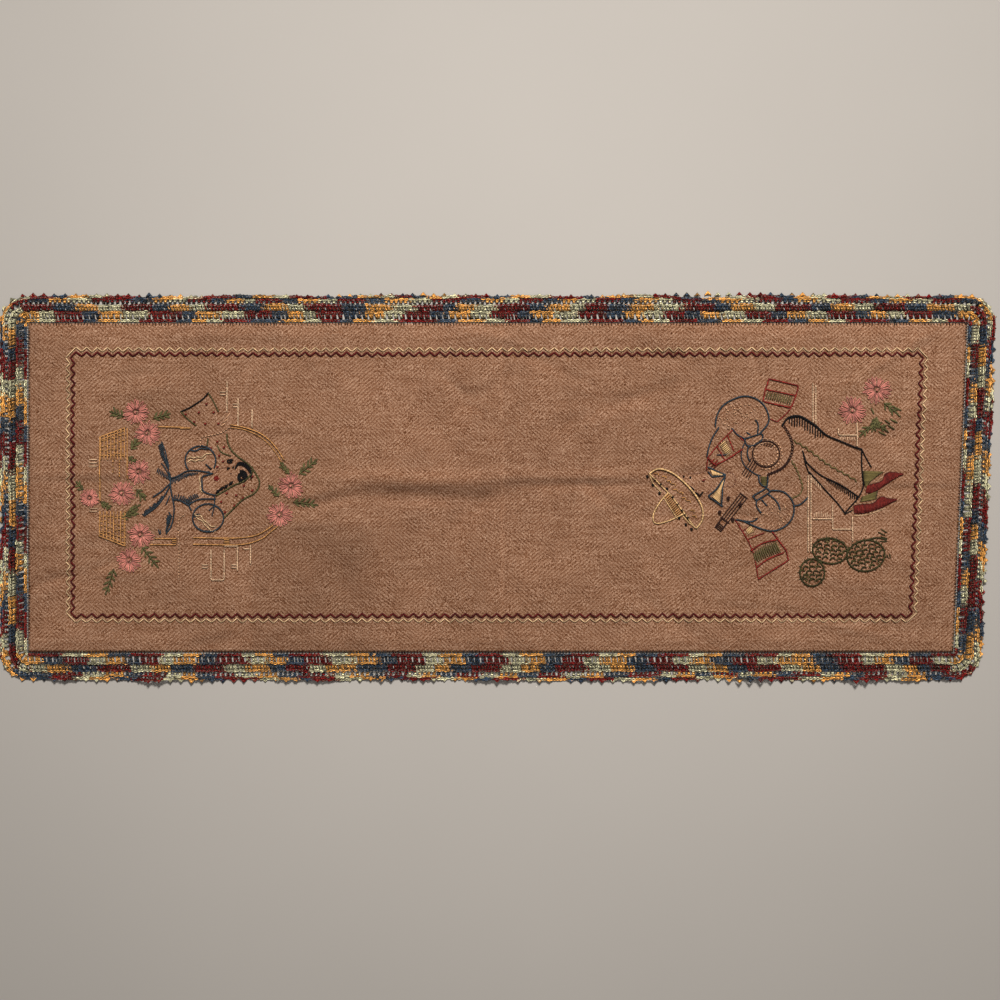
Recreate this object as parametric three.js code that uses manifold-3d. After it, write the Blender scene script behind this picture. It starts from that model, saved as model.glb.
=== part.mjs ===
// An embroidered table runner: a twill ground cloth, a crocheted edging worked in five rounds, a stitched
// zigzag frame and two embroidered motifs. Millimetres, +Z up. The cloth lies flat on z = 0, its long side
// along X, with the origin under the middle of the runner.
import * as THREE from "three";
import { mergeVertices } from "three/addons/utils/BufferGeometryUtils.js";
import Module from "manifold-3d";

const wasm = await Module();
wasm.setup();

// Ground cloth
const cloth_length = 1000; // along the back edge
const cloth_width = 350;
const end_slant = 15; // how far the hand-cut right end leans in at the front
const cloth_thickness = 0.6;

// Crocheted edging, from the cloth outwards
const yarn_gap = 0.3; // clearance between one round and the next
const crochet_thickness = 1.8;
const single_crochet_depth = 4.4;
const inner_mesh_depth = 7.6;
const treble_depth = 7.6;
const outer_mesh_depth = 5.4;
const picot_base_depth = 2.6;
const picot_height = 3.2;
const picot_pitch = 11.2;
const corner_steps = 6; // straight pieces in each rounded corner

// Stitched zigzag frame, measured from the cloth edge to the middle of the burgundy line
const frame_inset_back = 33;
const frame_inset_front = 39;
const frame_inset_end = 48;
const zigzag_pitch = 11;
const zigzag_swing = 4.6; // from inner point to outer point
const zigzag_spacing = 5; // between the two lines
const zigzag_corner_cut = 4; // from the frame's corner to the first point of a side
const zigzag_thread = 1.2;

// Embroidery
const stitch_clearance = 0.1; // between the cloth's face and the thread lying on it
const stitch_height = 0.8;
const outline_thread = 1.3;
const fine_thread = 1.0;
const heavy_thread = 2.6;
const satin_thread = 3.4;
const flower_height = 1.0;
const flower_petals = 20;
const petal_valley_share = 0.72; // valley radius between two petals, as a share of the flower's radius
const longest_mitre = 2; // how far a thread's corner may reach out, in half widths
const rail_overhang = 1.2; // of a balcony rail past its end bars
const leaflet_length = 5.2;
const leaflet_width = 2.6;

// Where the motifs sit: each is drawn round its own middle, for a field this wide
const drawn_field_width = 278;
const left_motif_from_frame = 122;
const right_motif_from_frame = 157;

const field_width = cloth_width - frame_inset_back - frame_inset_front;
const motif_scale = field_width / drawn_field_width;
const field_middle_y = (frame_inset_front - frame_inset_back) / 2;
const half_length = cloth_length / 2;
const half_width = cloth_width / 2;

const left_motif = {
  x: -half_length + frame_inset_end + left_motif_from_frame * motif_scale,
  y: field_middle_y,
};
const right_motif = {
  x: half_length - frame_inset_end - right_motif_from_frame * motif_scale,
  y: field_middle_y,
};

const runner = new THREE.Group();
runner.name = "table_runner";

function thread_material(colour, roughness = 0.85) {
  return new THREE.MeshStandardMaterial({ color: colour, roughness, metalness: 0 });
}

const tan_twill = thread_material(0x966c52, 0.95);
const variegated_yarn = thread_material(0x6e4634, 0.9);
const cream_thread = thread_material(0xd8ae84);
const burgundy_thread = thread_material(0x5a141a);
const pink_thread = thread_material(0xc98072);
const leaf_thread = thread_material(0x434426);
const gold_thread = thread_material(0xb07c40);
const navy_thread = thread_material(0x26323c);
const black_thread = thread_material(0x120c0a);
const green_thread = thread_material(0x3a3c20);
const white_thread = thread_material(0xdcb8a0);
const brown_thread = thread_material(0x2e1810);
const red_thread = thread_material(0x7a241e);
const cactus_thread = thread_material(0x2a2c1c);
const olive_thread = thread_material(0x5c5638);

function add_mesh(name, geometry, material, z = 0) {
  const mesh = new THREE.Mesh(geometry, material);
  mesh.name = name;
  mesh.position.z = z;
  runner.add(mesh);
}

function extrude(shape, height) {
  return new THREE.ExtrudeGeometry(shape, { depth: height, bevelEnabled: false, steps: 1 });
}

// Outlines go anticlockwise, so that the extrusion's walls face out round a hole too
function shape_of(points, hole) {
  const outline = points.map(([x, y]) => new THREE.Vector2(x, y));
  const shape = new THREE.Shape(THREE.ShapeUtils.isClockWise(outline) ? outline.reverse() : outline);
  if (hole) {
    shape.holes.push(new THREE.Path(hole.map(([x, y]) => new THREE.Vector2(x, y))));
  }
  return shape;
}

function solid_of(geometry) {
  const bare = geometry.clone();
  bare.deleteAttribute("normal");
  bare.deleteAttribute("uv");
  const merged = mergeVertices(bare, 1e-4);
  const mesh = new wasm.Mesh({
    numProp: 3,
    vertProperties: new Float32Array(merged.attributes.position.array),
    triVerts: new Uint32Array(merged.index.array),
  });
  return new wasm.Manifold(mesh);
}

function geometry_of(solid) {
  const mesh = solid.getMesh();
  const geometry = new THREE.BufferGeometry();
  geometry.setAttribute("position", new THREE.BufferAttribute(mesh.vertProperties, 3));
  geometry.setIndex(new THREE.BufferAttribute(mesh.triVerts, 1));
  return geometry;
}

function joined(geometries) {
  let whole = solid_of(geometries[0]);
  for (const geometry of geometries.slice(1)) {
    whole = whole.add(solid_of(geometry));
  }
  return geometry_of(whole);
}

// The cloth's four corners, anticlockwise from the front left
const cloth_corners = [
  [-half_length, -half_width],
  [half_length - end_slant, -half_width],
  [half_length, half_width],
  [-half_length, half_width],
];

// The line that runs at a set distance outside the cloth, round each corner as an arc, as straight sides
// and arcs that a walker can follow
function round_line(distance) {
  const parts = [];
  const count = cloth_corners.length;
  const side_angle = (i) => {
    const [ax, ay] = cloth_corners[i % count];
    const [bx, by] = cloth_corners[(i + 1) % count];
    return Math.atan2(by - ay, bx - ax);
  };
  for (let i = 0; i < count; i++) {
    const [ax, ay] = cloth_corners[i];
    const [bx, by] = cloth_corners[(i + 1) % count];
    const angle = side_angle(i);
    const out = angle - Math.PI / 2;
    const turn = (side_angle(i + 1) - angle + 2 * Math.PI) % (2 * Math.PI);
    parts.push({ kind: "side", ax, ay, bx, by, out, length: Math.hypot(bx - ax, by - ay) });
    parts.push({ kind: "arc", cx: bx, cy: by, from: out, turn, length: turn * distance });
  }
  return { parts, length: parts.reduce((sum, part) => sum + part.length, 0) };
}

function point_on_part(part, distance, share) {
  if (part.kind === "side") {
    const x = part.ax + (part.bx - part.ax) * share;
    const y = part.ay + (part.by - part.ay) * share;
    return [x + Math.cos(part.out) * distance, y + Math.sin(part.out) * distance];
  }
  const angle = part.from + part.turn * share;
  return [part.cx + Math.cos(angle) * distance, part.cy + Math.sin(angle) * distance];
}

function smooth_outline(distance) {
  const points = [];
  for (const part of round_line(distance).parts) {
    if (part.kind === "side") {
      points.push(point_on_part(part, distance, 0));
      points.push(point_on_part(part, distance, 1));
    } else {
      for (let step = 1; step < corner_steps; step++) {
        points.push(point_on_part(part, distance, step / corner_steps));
      }
    }
  }
  return points;
}

function picot_outline(base, height) {
  const line = round_line(base);
  const picots = Math.round(line.length / picot_pitch);
  const points = [];
  for (let half = 0; half < picots * 2; half++) {
    let along = (half / 2 / picots) * line.length;
    let part = line.parts[0];
    for (part of line.parts) {
      if (along <= part.length) break;
      along -= part.length;
    }
    const reach = half % 2 ? base + height : base;
    points.push(point_on_part(part, reach, along / part.length));
  }
  return points;
}

function add_ground_cloth() {
  add_mesh("ground_cloth", extrude(shape_of(cloth_corners), cloth_thickness), tan_twill);
}

function add_crochet() {
  const rounds = [
    ["single_crochet_round", single_crochet_depth],
    ["inner_mesh_round", inner_mesh_depth],
    ["treble_round", treble_depth],
    ["outer_mesh_round", outer_mesh_depth],
  ];
  let inner = yarn_gap;
  for (const [name, depth] of rounds) {
    const band = shape_of(smooth_outline(inner + depth), smooth_outline(inner));
    add_mesh(name, extrude(band, crochet_thickness), variegated_yarn);
    inner += depth + yarn_gap;
  }
  const edge = shape_of(picot_outline(inner + picot_base_depth, picot_height), smooth_outline(inner));
  add_mesh("picot_round", extrude(edge, crochet_thickness), variegated_yarn);
}

// A closed zigzag that follows the leaning field; outward shifts every stitch away from the field's middle
function zigzag_points(outward) {
  const left = -half_length + frame_inset_end;
  const back = half_width - frame_inset_back;
  const front = -half_width + frame_inset_front;
  const lean = end_slant / cloth_width;
  const right_at = (y) => half_length - frame_inset_end - (half_width - y) * lean;
  const corners = [[left, front], [right_at(front), front], [right_at(back), back], [left, back]];
  const points = [];
  corners.forEach(([ax, ay], i) => {
    const [bx, by] = corners[(i + 1) % corners.length];
    const length = Math.hypot(bx - ax, by - ay);
    const ux = (bx - ax) / length;
    const uy = (by - ay) / length;
    const run = length - 2 * zigzag_corner_cut;
    const zigs = Math.round(run / zigzag_pitch);
    for (let half = 0; half <= zigs * 2; half++) {
      const along = zigzag_corner_cut + (half / 2 / zigs) * run;
      const out = outward + (half % 2 ? -zigzag_swing / 2 : zigzag_swing / 2);
      points.push([ax + ux * along + uy * out, ay + uy * along - ux * out]);
    }
  });
  return points;
}

function add_zigzag_frame() {
  const lines = [
    ["burgundy_zigzag", 0, burgundy_thread],
    ["cream_zigzag", zigzag_spacing, cream_thread],
  ];
  for (const [name, outward, material] of lines) {
    const line = ribbon(zigzag_points(outward), zigzag_thread, true);
    add_mesh(name, line, material, cloth_thickness + stitch_clearance);
  }
}

// The way from corner b to its left outline point, for a thread that is two wide
function mitre(a, b, c) {
  const first = new THREE.Vector2(b[0] - a[0], b[1] - a[1]).normalize();
  const second = new THREE.Vector2(c[0] - b[0], c[1] - b[1]).normalize();
  const normal = new THREE.Vector2(-first.y - second.y, first.x + second.x).normalize();
  const along_first = normal.dot(new THREE.Vector2(-first.y, first.x));
  const stretch = 1 / Math.max(along_first, 1 / longest_mitre);
  return [normal.x * stretch, normal.y * stretch];
}

// A flat thread of one width along a line of points
function ribbon(points, width, closed = false, height = stitch_height) {
  const last = points.length - 1;
  const left = [];
  const right = [];
  points.forEach((point, i) => {
    const before = i > 0 ? points[i - 1] : points[last];
    const after = i < last ? points[i + 1] : points[0];
    const step = (from, to) => [2 * to[0] - from[0], 2 * to[1] - from[1]];
    const a = closed || i > 0 ? before : step(after, point);
    const c = closed || i < last ? after : step(before, point);
    const [nx, ny] = mitre(a, point, c);
    left.push([point[0] + (nx * width) / 2, point[1] + (ny * width) / 2]);
    right.push([point[0] - (nx * width) / 2, point[1] - (ny * width) / 2]);
  });
  if (!closed) return extrude(shape_of([...left, ...right.reverse()]), height);
  const turn = THREE.ShapeUtils.area(points.map(([x, y]) => new THREE.Vector2(x, y)));
  return extrude(turn > 0 ? shape_of(right, left) : shape_of(left, right), height);
}

// Everything below is drawn in a motif's own frame and then placed with this
function place(motif, points) {
  return points.map(([x, y]) => [motif.x + x * motif_scale, motif.y + y * motif_scale]);
}

function arc_points(cx, cy, rx, ry, from_degrees, to_degrees, steps) {
  const points = [];
  for (let i = 0; i <= steps; i++) {
    const angle = THREE.MathUtils.degToRad(from_degrees + ((to_degrees - from_degrees) * i) / steps);
    points.push([cx + rx * Math.cos(angle), cy + ry * Math.sin(angle)]);
  }
  return points;
}

function ring_points(cx, cy, rx, ry, steps) {
  return arc_points(cx, cy, rx, ry, 0, 360 - 360 / steps, steps - 1);
}

// lines is a list of [points, width, closed]; they touch each other and become one piece. A smaller motif
// is worked in finer thread, so its lines stay as far apart for their width.
function add_stitched_lines(name, motif, material, lines) {
  const threads = lines.map(([points, width, closed]) => {
    return ribbon(place(motif, points), width * motif_scale, closed);
  });
  const geometry = threads.length > 1 ? joined(threads) : threads[0];
  add_mesh(name, geometry, material, cloth_thickness + stitch_clearance);
}

function add_satin_patch(name, motif, material, points) {
  const patch = extrude(shape_of(place(motif, points)), stitch_height);
  add_mesh(name, patch, material, cloth_thickness + stitch_clearance);
}

function add_flower(name, motif, x, y, radius) {
  const outline = [];
  for (let i = 0; i < flower_petals * 2; i++) {
    const reach = i % 2 ? radius * petal_valley_share : radius;
    const angle = (Math.PI * i) / flower_petals;
    outline.push([x + reach * Math.cos(angle), y + reach * Math.sin(angle)]);
  }
  const flower = extrude(shape_of(place(motif, outline)), flower_height);
  add_mesh(name, flower, pink_thread, cloth_thickness + stitch_clearance);
}

function leaflet(x, y, angle) {
  const tip = [x + leaflet_length * Math.cos(angle), y + leaflet_length * Math.sin(angle)];
  const side = (sign) => [
    x + (leaflet_length / 2) * Math.cos(angle) - ((sign * leaflet_width) / 2) * Math.sin(angle),
    y + (leaflet_length / 2) * Math.sin(angle) + ((sign * leaflet_width) / 2) * Math.cos(angle),
  ];
  return [[x, y], side(-1), tip, side(1)];
}

// A stem with pairs of leaflets along it and one at the tip
function add_sprig(name, motif, from, to, pairs) {
  const along = Math.atan2(to[1] - from[1], to[0] - from[0]);
  const spread = THREE.MathUtils.degToRad(42);
  const parts = [ribbon(place(motif, [from, to]), outline_thread * motif_scale)];
  const leaf = (x, y, angle) => extrude(shape_of(place(motif, leaflet(x, y, angle))), stitch_height);
  for (let i = 0; i < pairs; i++) {
    const share = i / pairs;
    const x = from[0] + (to[0] - from[0]) * share;
    const y = from[1] + (to[1] - from[1]) * share;
    parts.push(leaf(x, y, along + spread), leaf(x, y, along - spread));
  }
  parts.push(leaf(to[0] - Math.cos(along), to[1] - Math.sin(along), along));
  add_mesh(name, joined(parts), leaf_thread, cloth_thickness + stitch_clearance);
}

function add_flowers(motif, first_number, flowers) {
  flowers.forEach(([x, y, radius], i) => {
    add_flower(`pink_flower_${first_number + i}`, motif, x, y, radius);
  });
}

function add_sprigs(motif, first_number, sprigs) {
  sprigs.forEach(([from, to, pairs], i) => {
    add_sprig(`leaf_sprig_${first_number + i}`, motif, from, to, pairs);
  });
}

// Upright bars between a level rail and a slanted one, which both run a little past the end bars; the
// first bar runs on to post_end
function railing(left, right, level, slant_left, slant_right, bars, post_end = level) {
  const slope = (slant_right - slant_left) / (right - left);
  const slant_at = (x) => slant_left + slope * (x - left);
  const from = left - rail_overhang;
  const to = right + rail_overhang;
  const lines = [
    [[[from, slant_at(from)], [to, slant_at(to)]], outline_thread],
    [[[from, level], [to, level]], outline_thread],
  ];
  for (let i = 0; i <= bars; i++) {
    const x = left + ((right - left) * i) / bars;
    lines.push([[[x, slant_at(x)], [x, i === 0 ? post_end : level]], fine_thread]);
  }
  return lines;
}

function add_balcony(motif) {
  add_stitched_lines("balcony_back_rail", motif, gold_thread, railing(-92, -67, 26, 51, 60, 6, -15));
  add_stitched_lines("balcony_front_rail", motif, gold_thread, railing(-92, -74, -31, -54, -61, 5));
}

function add_archway(motif) {
  const back_line = [[-30, 62], [3, 61]];
  const back_curve = [[46, 64], [68, 59], [79, 54], [89, 46], [97, 36], [101, 27]];
  const front_upper = [[6, -56], [50, -56], [71, -54], [81, -50], [87, -45]];
  const front_lower = [[6, -63], [55, -63], [77, -59], [90, -49]];
  const steps_upper = [[-35, -57], [-12, -57]];
  const steps_lower = [[-40, -63], [-12, -63]];
  add_stitched_lines("arch_line_back", motif, gold_thread, [[back_line, outline_thread]]);
  add_stitched_lines("arch_curve_back", motif, gold_thread, [[back_curve, heavy_thread]]);
  add_stitched_lines("arch_curve_front", motif, gold_thread, [
    [front_upper, outline_thread],
    [front_lower, outline_thread],
    [[[8, -56], [8, -63]], fine_thread],
  ]);
  add_stitched_lines("step_front", motif, gold_thread, [
    [steps_upper, outline_thread],
    [steps_lower, outline_thread],
    [[[-14, -57], [-14, -63]], fine_thread],
  ]);
}

function add_window_left(motif) {
  const sill = [[25, -69], [25, -101], [39, -101], [39, -69]];
  add_stitched_lines("window_line_left", motif, white_thread, [[sill, fine_thread]]);
}

function add_dress(motif) {
  add_stitched_lines("dress", motif, navy_thread, [
    [[[-18, 10], [-18, -3], [-16, -15]], outline_thread],
    [[[-18, 5], [-20, 25], [-26, 39], [-29, 45]], satin_thread],
    [[[-17, 5], [-27, 12], [-34, 17]], satin_thread],
    [[[-17, 0], [-37, -13]], outline_thread],
    [[[-17, -1], [-28, -16], [-45, -31]], satin_thread],
    [[[-17, -2], [-14, -26], [-17, -39], [-23, -50]], satin_thread],
    [[[-18, 7], [-11, 10], [1, 15], [13, 15], [26, 12]], satin_thread],
    [[[26, 11], [16, 9], [16, -6], [29, -11]], outline_thread],
    [[[-16, -14], [-3, -17], [16, -9]], satin_thread],
    [[[2, -22], [14, -16], [29, -15]], outline_thread],
    [[[14, -8], [13, -17]], outline_thread],
  ]);
}

function add_dress_sleeves(motif) {
  const back_sleeve = arc_points(14, 26, 16.5, 15.5, -18, 198, 16);
  const front_sleeve = ring_points(22, -35, 16.5, 15, 20);
  add_stitched_lines("dress_sleeve_back", motif, navy_thread, [[back_sleeve, outline_thread]]);
  add_stitched_lines("dress_sleeve_front", motif, navy_thread, [[front_sleeve, outline_thread, true]]);
}

function add_hair(motif) {
  const crown = [[42, 27], [50, 26], [57, 21], [63, 14], [60, 7], [48, 1], [37, -4]];
  add_stitched_lines("hair", motif, black_thread, [[crown, satin_thread]]);
}

function add_shawl(motif) {
  const edge = [[42, 54], [44, 43], [51, 33], [67, 21], [76, 6], [76, -2], [71, -10], [57, -17], [45, -29]];
  add_stitched_lines("shawl_edge", motif, green_thread, [[edge, outline_thread]]);
}

function add_fan(motif) {
  const edge = [[-7, 78], [10, 86], [22, 98], [28, 88], [34, 78], [22, 71], [10, 66], [1, 71]];
  add_stitched_lines("fan_edge", motif, green_thread, [[edge, outline_thread, true]]);
}

function add_hat(motif) {
  const brim = [
    [-134, 12], [-128, 16], [-121, 17], [-108, 12], [-94, 0], [-82, -15],
    [-77, -28], [-78, -39], [-83, -46], [-88, -45],
  ];
  const crown = [[-114, -11], [-125, -24], [-130, -34], [-126, -41], [-113, -38], [-98, -32]];
  add_stitched_lines("hat", motif, gold_thread, [
    [brim, outline_thread, true],
    [crown, outline_thread],
  ]);
}

function add_neck_scarf(motif) {
  add_stitched_lines("neck_scarf", motif, navy_thread, [
    [[[-71, 18], [-52, 10], [-66, 7]], outline_thread, true],
    [[[-53, 10], [-71, -13], [-56, -25]], outline_thread, true],
  ]);
}

function add_shirt_sleeves(motif) {
  const back_arc = [
    [-64, 66], [-61, 76], [-55, 85], [-43, 92], [-32, 95], [-21, 92],
    [-11, 84], [-6, 73], [-8, 65], [-16, 54],
  ];
  const back_cuff = [[-33, 49], [-16, 54], [-14, 48], [-27, 42]];
  const front_arc = [
    [-7, -4], [7, -7], [17, -15], [20, -27], [16, -39], [4, -48], [-8, -50],
    [-21, -46], [-33, -40], [-43, -37],
  ];
  const front_cuff = [[-24, -13], [-8, -3], [-5, -7], [-20, -17]];
  const string_end = [[18, -21], [31, -14]];
  add_stitched_lines("shirt_sleeve_back", motif, navy_thread, [
    [back_arc, outline_thread],
    [back_cuff, outline_thread, true],
  ]);
  add_stitched_lines("shirt_sleeve_front", motif, navy_thread, [
    [front_arc, outline_thread],
    [front_cuff, outline_thread, true],
    [string_end, outline_thread],
  ]);
}

function add_guitar(motif) {
  const neck_strings = 4;
  const string_spacing = 2.6;
  const body_side = [[7, 61], [16, 50], [17, 35], [12, 25], [2, 15], [-8, 12]];
  const neck_from = [-33, -11];
  const neck_to = [-53, -37];
  const across = new THREE.Vector2(neck_to[1] - neck_from[1], neck_from[0] - neck_to[0]).normalize();
  const beside = ([x, y], shift) => [x + across.x * shift, y + across.y * shift];
  const lines = [];
  for (let i = 0; i < neck_strings; i++) {
    const shift = (i - (neck_strings - 1) / 2) * string_spacing;
    lines.push([[beside(neck_from, shift), beside(neck_to, shift)], fine_thread]);
  }
  const half = (neck_strings * string_spacing) / 2;
  lines.push([[beside(neck_from, -half), beside(neck_from, half)], outline_thread]);
  lines.push([[beside(neck_to, -half), beside(neck_to, half)], outline_thread]);
  lines.push([[neck_to, [-62, -47]], satin_thread]);
  const ring = ring_points(-10, 32, 13, 13, 20);
  add_stitched_lines("guitar_ring", motif, brown_thread, [[ring, outline_thread, true]]);
  add_stitched_lines("guitar_side", motif, brown_thread, [[body_side, heavy_thread]]);
  add_stitched_lines("guitar_neck", motif, brown_thread, lines);
}

function add_serape(motif) {
  const back_end = [[-6, 113], [25, 106], [22, 95], [17, 82], [-9, 88], [-9, 102]];
  const neck_end = [[-45, 59], [-35, 40], [-62, 24], [-71, 32]];
  const front_end = [[-40, -47], [-29, -61], [-18, -100], [14, -80], [-2, -55]];
  add_stitched_lines("serape_end_back", motif, red_thread, [
    [back_end, outline_thread, true],
    [[[-9, 102], [22, 95]], outline_thread],
    [[[17, 82], [5, 70]], outline_thread],
  ]);
  add_stitched_lines("serape_end_neck", motif, red_thread, [
    [neck_end, outline_thread, true],
    [[[-54, 49], [-44, 35]], outline_thread],
    [[[-62, 41], [-53, 29]], outline_thread],
  ]);
  add_stitched_lines("serape_end_front", motif, red_thread, [
    [front_end, outline_thread],
    [[[-29, -61], [-5, -51]], outline_thread],
    [[[-25, -74], [4, -63]], outline_thread],
    [[[-21, -88], [11, -74]], outline_thread],
  ]);
}

function add_trousers(motif) {
  const outer_leg = [[8, 64], [13, 72], [20, 74], [33, 69], [42, 64], [54, 53], [68, 47], [85, 40], [92, 38]];
  const hem = [[92, 38], [93, 6], [94, -1], [89, -13]];
  const flap = [[92, 38], [102, 20]];
  const inner_leg = [[30, 35], [35, 22], [49, 11], [66, 3], [77, -3], [89, -13]];
  const front_leg = [[36, 20], [54, -2], [75, -30], [89, -13]];
  const stripe = [[22, 47], [31, 40], [42, 32], [54, 23], [66, 18], [77, 12], [86, 7]];
  add_stitched_lines("trousers", motif, black_thread, [
    [outer_leg, heavy_thread],
    [hem, outline_thread],
    [flap, outline_thread],
    [inner_leg, outline_thread],
    [front_leg, outline_thread],
  ]);
  add_stitched_lines("trouser_stripe", motif, olive_thread, [[stripe, outline_thread]]);
}

function add_shoes(motif) {
  const back_shoe = [[98, 0], [115, 5], [118, 13], [135, 12], [121, 2], [98, -9]];
  const front_shoe = [[88, -21], [108, -17], [114, -11], [128, -14], [114, -24], [89, -30]];
  add_satin_patch("shoe_back", motif, red_thread, back_shoe);
  add_satin_patch("shoe_front", motif, red_thread, front_shoe);
}

function add_window_right(motif) {
  const sill = [[61, -25], [61, -47], [82, -47], [82, -34]];
  add_stitched_lines("window_line_right", motif, white_thread, [[sill, fine_thread]]);
}

function add_cactus(motif) {
  add_stitched_lines("cactus", motif, cactus_thread, [
    [ring_points(39, -93, 13.5, 14.5, 18), outline_thread, true],
    [ring_points(58, -70, 19, 14, 20), outline_thread, true],
    [ring_points(96, -76, 20, 17, 20), outline_thread, true],
  ]);
}

add_ground_cloth();
add_crochet();
add_zigzag_frame();

add_balcony(left_motif);
add_archway(left_motif);
add_window_left(left_motif);
add_dress(left_motif);
add_dress_sleeves(left_motif);
add_hair(left_motif);
add_shawl(left_motif);
add_fan(left_motif);
add_flowers(left_motif, 1, [
  [-55, 77, 11.2], [-43, 55, 11.2], [-52, 14, 12.5], [-70, -9, 12.5], [-104, -14, 9],
  [-50, -53, 12.5], [-62, -80, 12.5], [110, -1, 12.5], [98, -32, 12.5],
]);
add_sprigs(left_motif, 1, [
  [[-69, 73], [-80, 77], 2],
  [[-37, 70], [-22, 75], 2],
  [[-62, 37], [-60, 47], 1],
  [[-54, -8], [-47, -12], 1],
  [[-69, -35], [-56, -29], 2],
  [[-46, -70], [-34, -84], 3],
  [[-76, -91], [-86, -112], 3],
  [[120, 13], [133, 24], 2],
  [[113, -18], [134, -21], 3],
]);

add_hat(right_motif);
add_neck_scarf(right_motif);
add_shirt_sleeves(right_motif);
add_guitar(right_motif);
add_serape(right_motif);
add_trousers(right_motif);
add_shoes(right_motif);
add_window_right(right_motif);
add_cactus(right_motif);
add_flowers(right_motif, 10, [[108, 101, 13], [82, 79, 13]]);
add_sprigs(right_motif, 10, [
  [[120, 86], [129, 77], 1],
  [[108, 72], [101, 60], 2],
]);

export default runner;
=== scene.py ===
import math

import bmesh
import bpy
import numpy as np
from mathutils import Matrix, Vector


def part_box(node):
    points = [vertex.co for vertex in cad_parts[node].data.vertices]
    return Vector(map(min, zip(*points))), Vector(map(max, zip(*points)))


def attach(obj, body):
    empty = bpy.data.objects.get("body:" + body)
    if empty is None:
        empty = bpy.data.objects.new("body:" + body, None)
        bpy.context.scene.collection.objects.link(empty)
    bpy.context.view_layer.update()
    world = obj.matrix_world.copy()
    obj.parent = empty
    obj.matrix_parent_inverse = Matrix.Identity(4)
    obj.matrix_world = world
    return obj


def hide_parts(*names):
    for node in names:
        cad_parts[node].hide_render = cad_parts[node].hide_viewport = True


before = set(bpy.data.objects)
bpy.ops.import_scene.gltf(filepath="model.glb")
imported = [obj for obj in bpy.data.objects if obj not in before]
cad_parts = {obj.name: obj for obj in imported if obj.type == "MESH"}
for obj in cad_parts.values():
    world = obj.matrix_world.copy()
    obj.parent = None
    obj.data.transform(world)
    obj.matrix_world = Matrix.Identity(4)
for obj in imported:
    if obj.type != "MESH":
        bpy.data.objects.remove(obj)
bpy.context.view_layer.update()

MM = 0.001

# The cloth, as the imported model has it
cloth_low, cloth_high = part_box("ground_cloth")
LEFT = cloth_low.x / MM
RIGHT = cloth_high.x / MM
FRONT = cloth_low.y / MM
BACK = cloth_high.y / MM
CLOTH_THICKNESS = (cloth_high.z - cloth_low.z) / MM
END_SLANT = 15  # how far the right end leans in at the front

# The stitched frame, measured from the cloth edge to the middle of the burgundy line
FRAME_INSET_BACK = 33
FRAME_INSET_FRONT = 39
FRAME_INSET_END = 48
ZIGZAG_PITCH = 11
ZIGZAG_SWING = 4.6
ZIGZAG_SPACING = 5
ZIGZAG_CORNER_CUT = 4
FIELD_MIDDLE_Y = (FRAME_INSET_FRONT - FRAME_INSET_BACK) / 2

# The middles of the two motifs, measured from the ends of the frame
LEFT_MOTIF_INSET = 122
RIGHT_MOTIF_INSET = 157
LEFT_MOTIF = (LEFT + FRAME_INSET_END + LEFT_MOTIF_INSET, FIELD_MIDDLE_Y)
RIGHT_MOTIF = (RIGHT - FRAME_INSET_END - RIGHT_MOTIF_INSET, FIELD_MIDDLE_Y)

# Thread widths
FINE = 1.25
PLAIN = 1.6

# The edging: how far each round starts from the cloth edge, and its depth
ROUNDS = {
    "single_crochet_round": (0.3, 4.4),
    "inner_mesh_round": (5.0, 7.6),
    "treble_round": (12.9, 7.6),
    "outer_mesh_round": (20.8, 5.4),
    "picot_round": (26.5, 2.6),
}
PICOT_HEIGHT = 3.2
PICOT_PITCH = 11.2
STITCH_PITCH = 3.3


# ---------------------------------------------------------------- how the runner lies


def bump(value, middle, width):
    """1 at the middle, falling away smoothly on both sides."""
    return np.exp(-(((value - middle) / width) ** 2))


def past_edge(x, y):
    """How far a point lies outside the cloth, in mm; negative on the cloth."""
    right = RIGHT - (BACK - y) * END_SLANT / (BACK - FRONT)
    over_x = np.maximum(LEFT - x, x - right)
    over_y = np.maximum(FRONT - y, y - BACK)
    outside = np.hypot(np.maximum(over_x, 0), np.maximum(over_y, 0))
    return outside + np.minimum(np.maximum(over_x, over_y), 0)


# The folds across the runner, from old storage: place along it, width and rise. They lean a little.
CROSS_FOLD = ((6, 5, 1.3), (17, 6, -0.9))
CROSS_FOLD_LEAN = 0.03

# The folds along the runner: where each is centred, how far it spreads and how much it wanders, then the
# place, width and rise of its ridge and of the hollow in front of it
LONG_FOLDS = (
    (-85, 92, 1, (8, 8, 3.2), (-9, 8, -2.6)),
    (90, 90, 0, (12, 6, 1.7), (3, 5, -1.7)),
    (-195, 35, 3, (-6, 6, 1.8), (-16, 6, -1.8)),
    (-430, 60, 0, (14, 5, 1.0), (6, 5, -1.0)),
    (440, 60, 0, (6, 5, 1.0), (-2, 5, -1.0)),
)

# The middle of the cloth stands off the table in low waves, and its borders settle on to it
MIDDLE_RISE = 2.9
BORDER_RISE = 0.4
SETTLE_START = -16  # how far outside the cloth's edge the settling starts, so this is on the cloth
SETTLE_WIDTH = 21
LOWEST = 0.2
HIGHEST = 8.8
EDGING_REACH = 32
RUFFLED_END_X = 480


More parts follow.
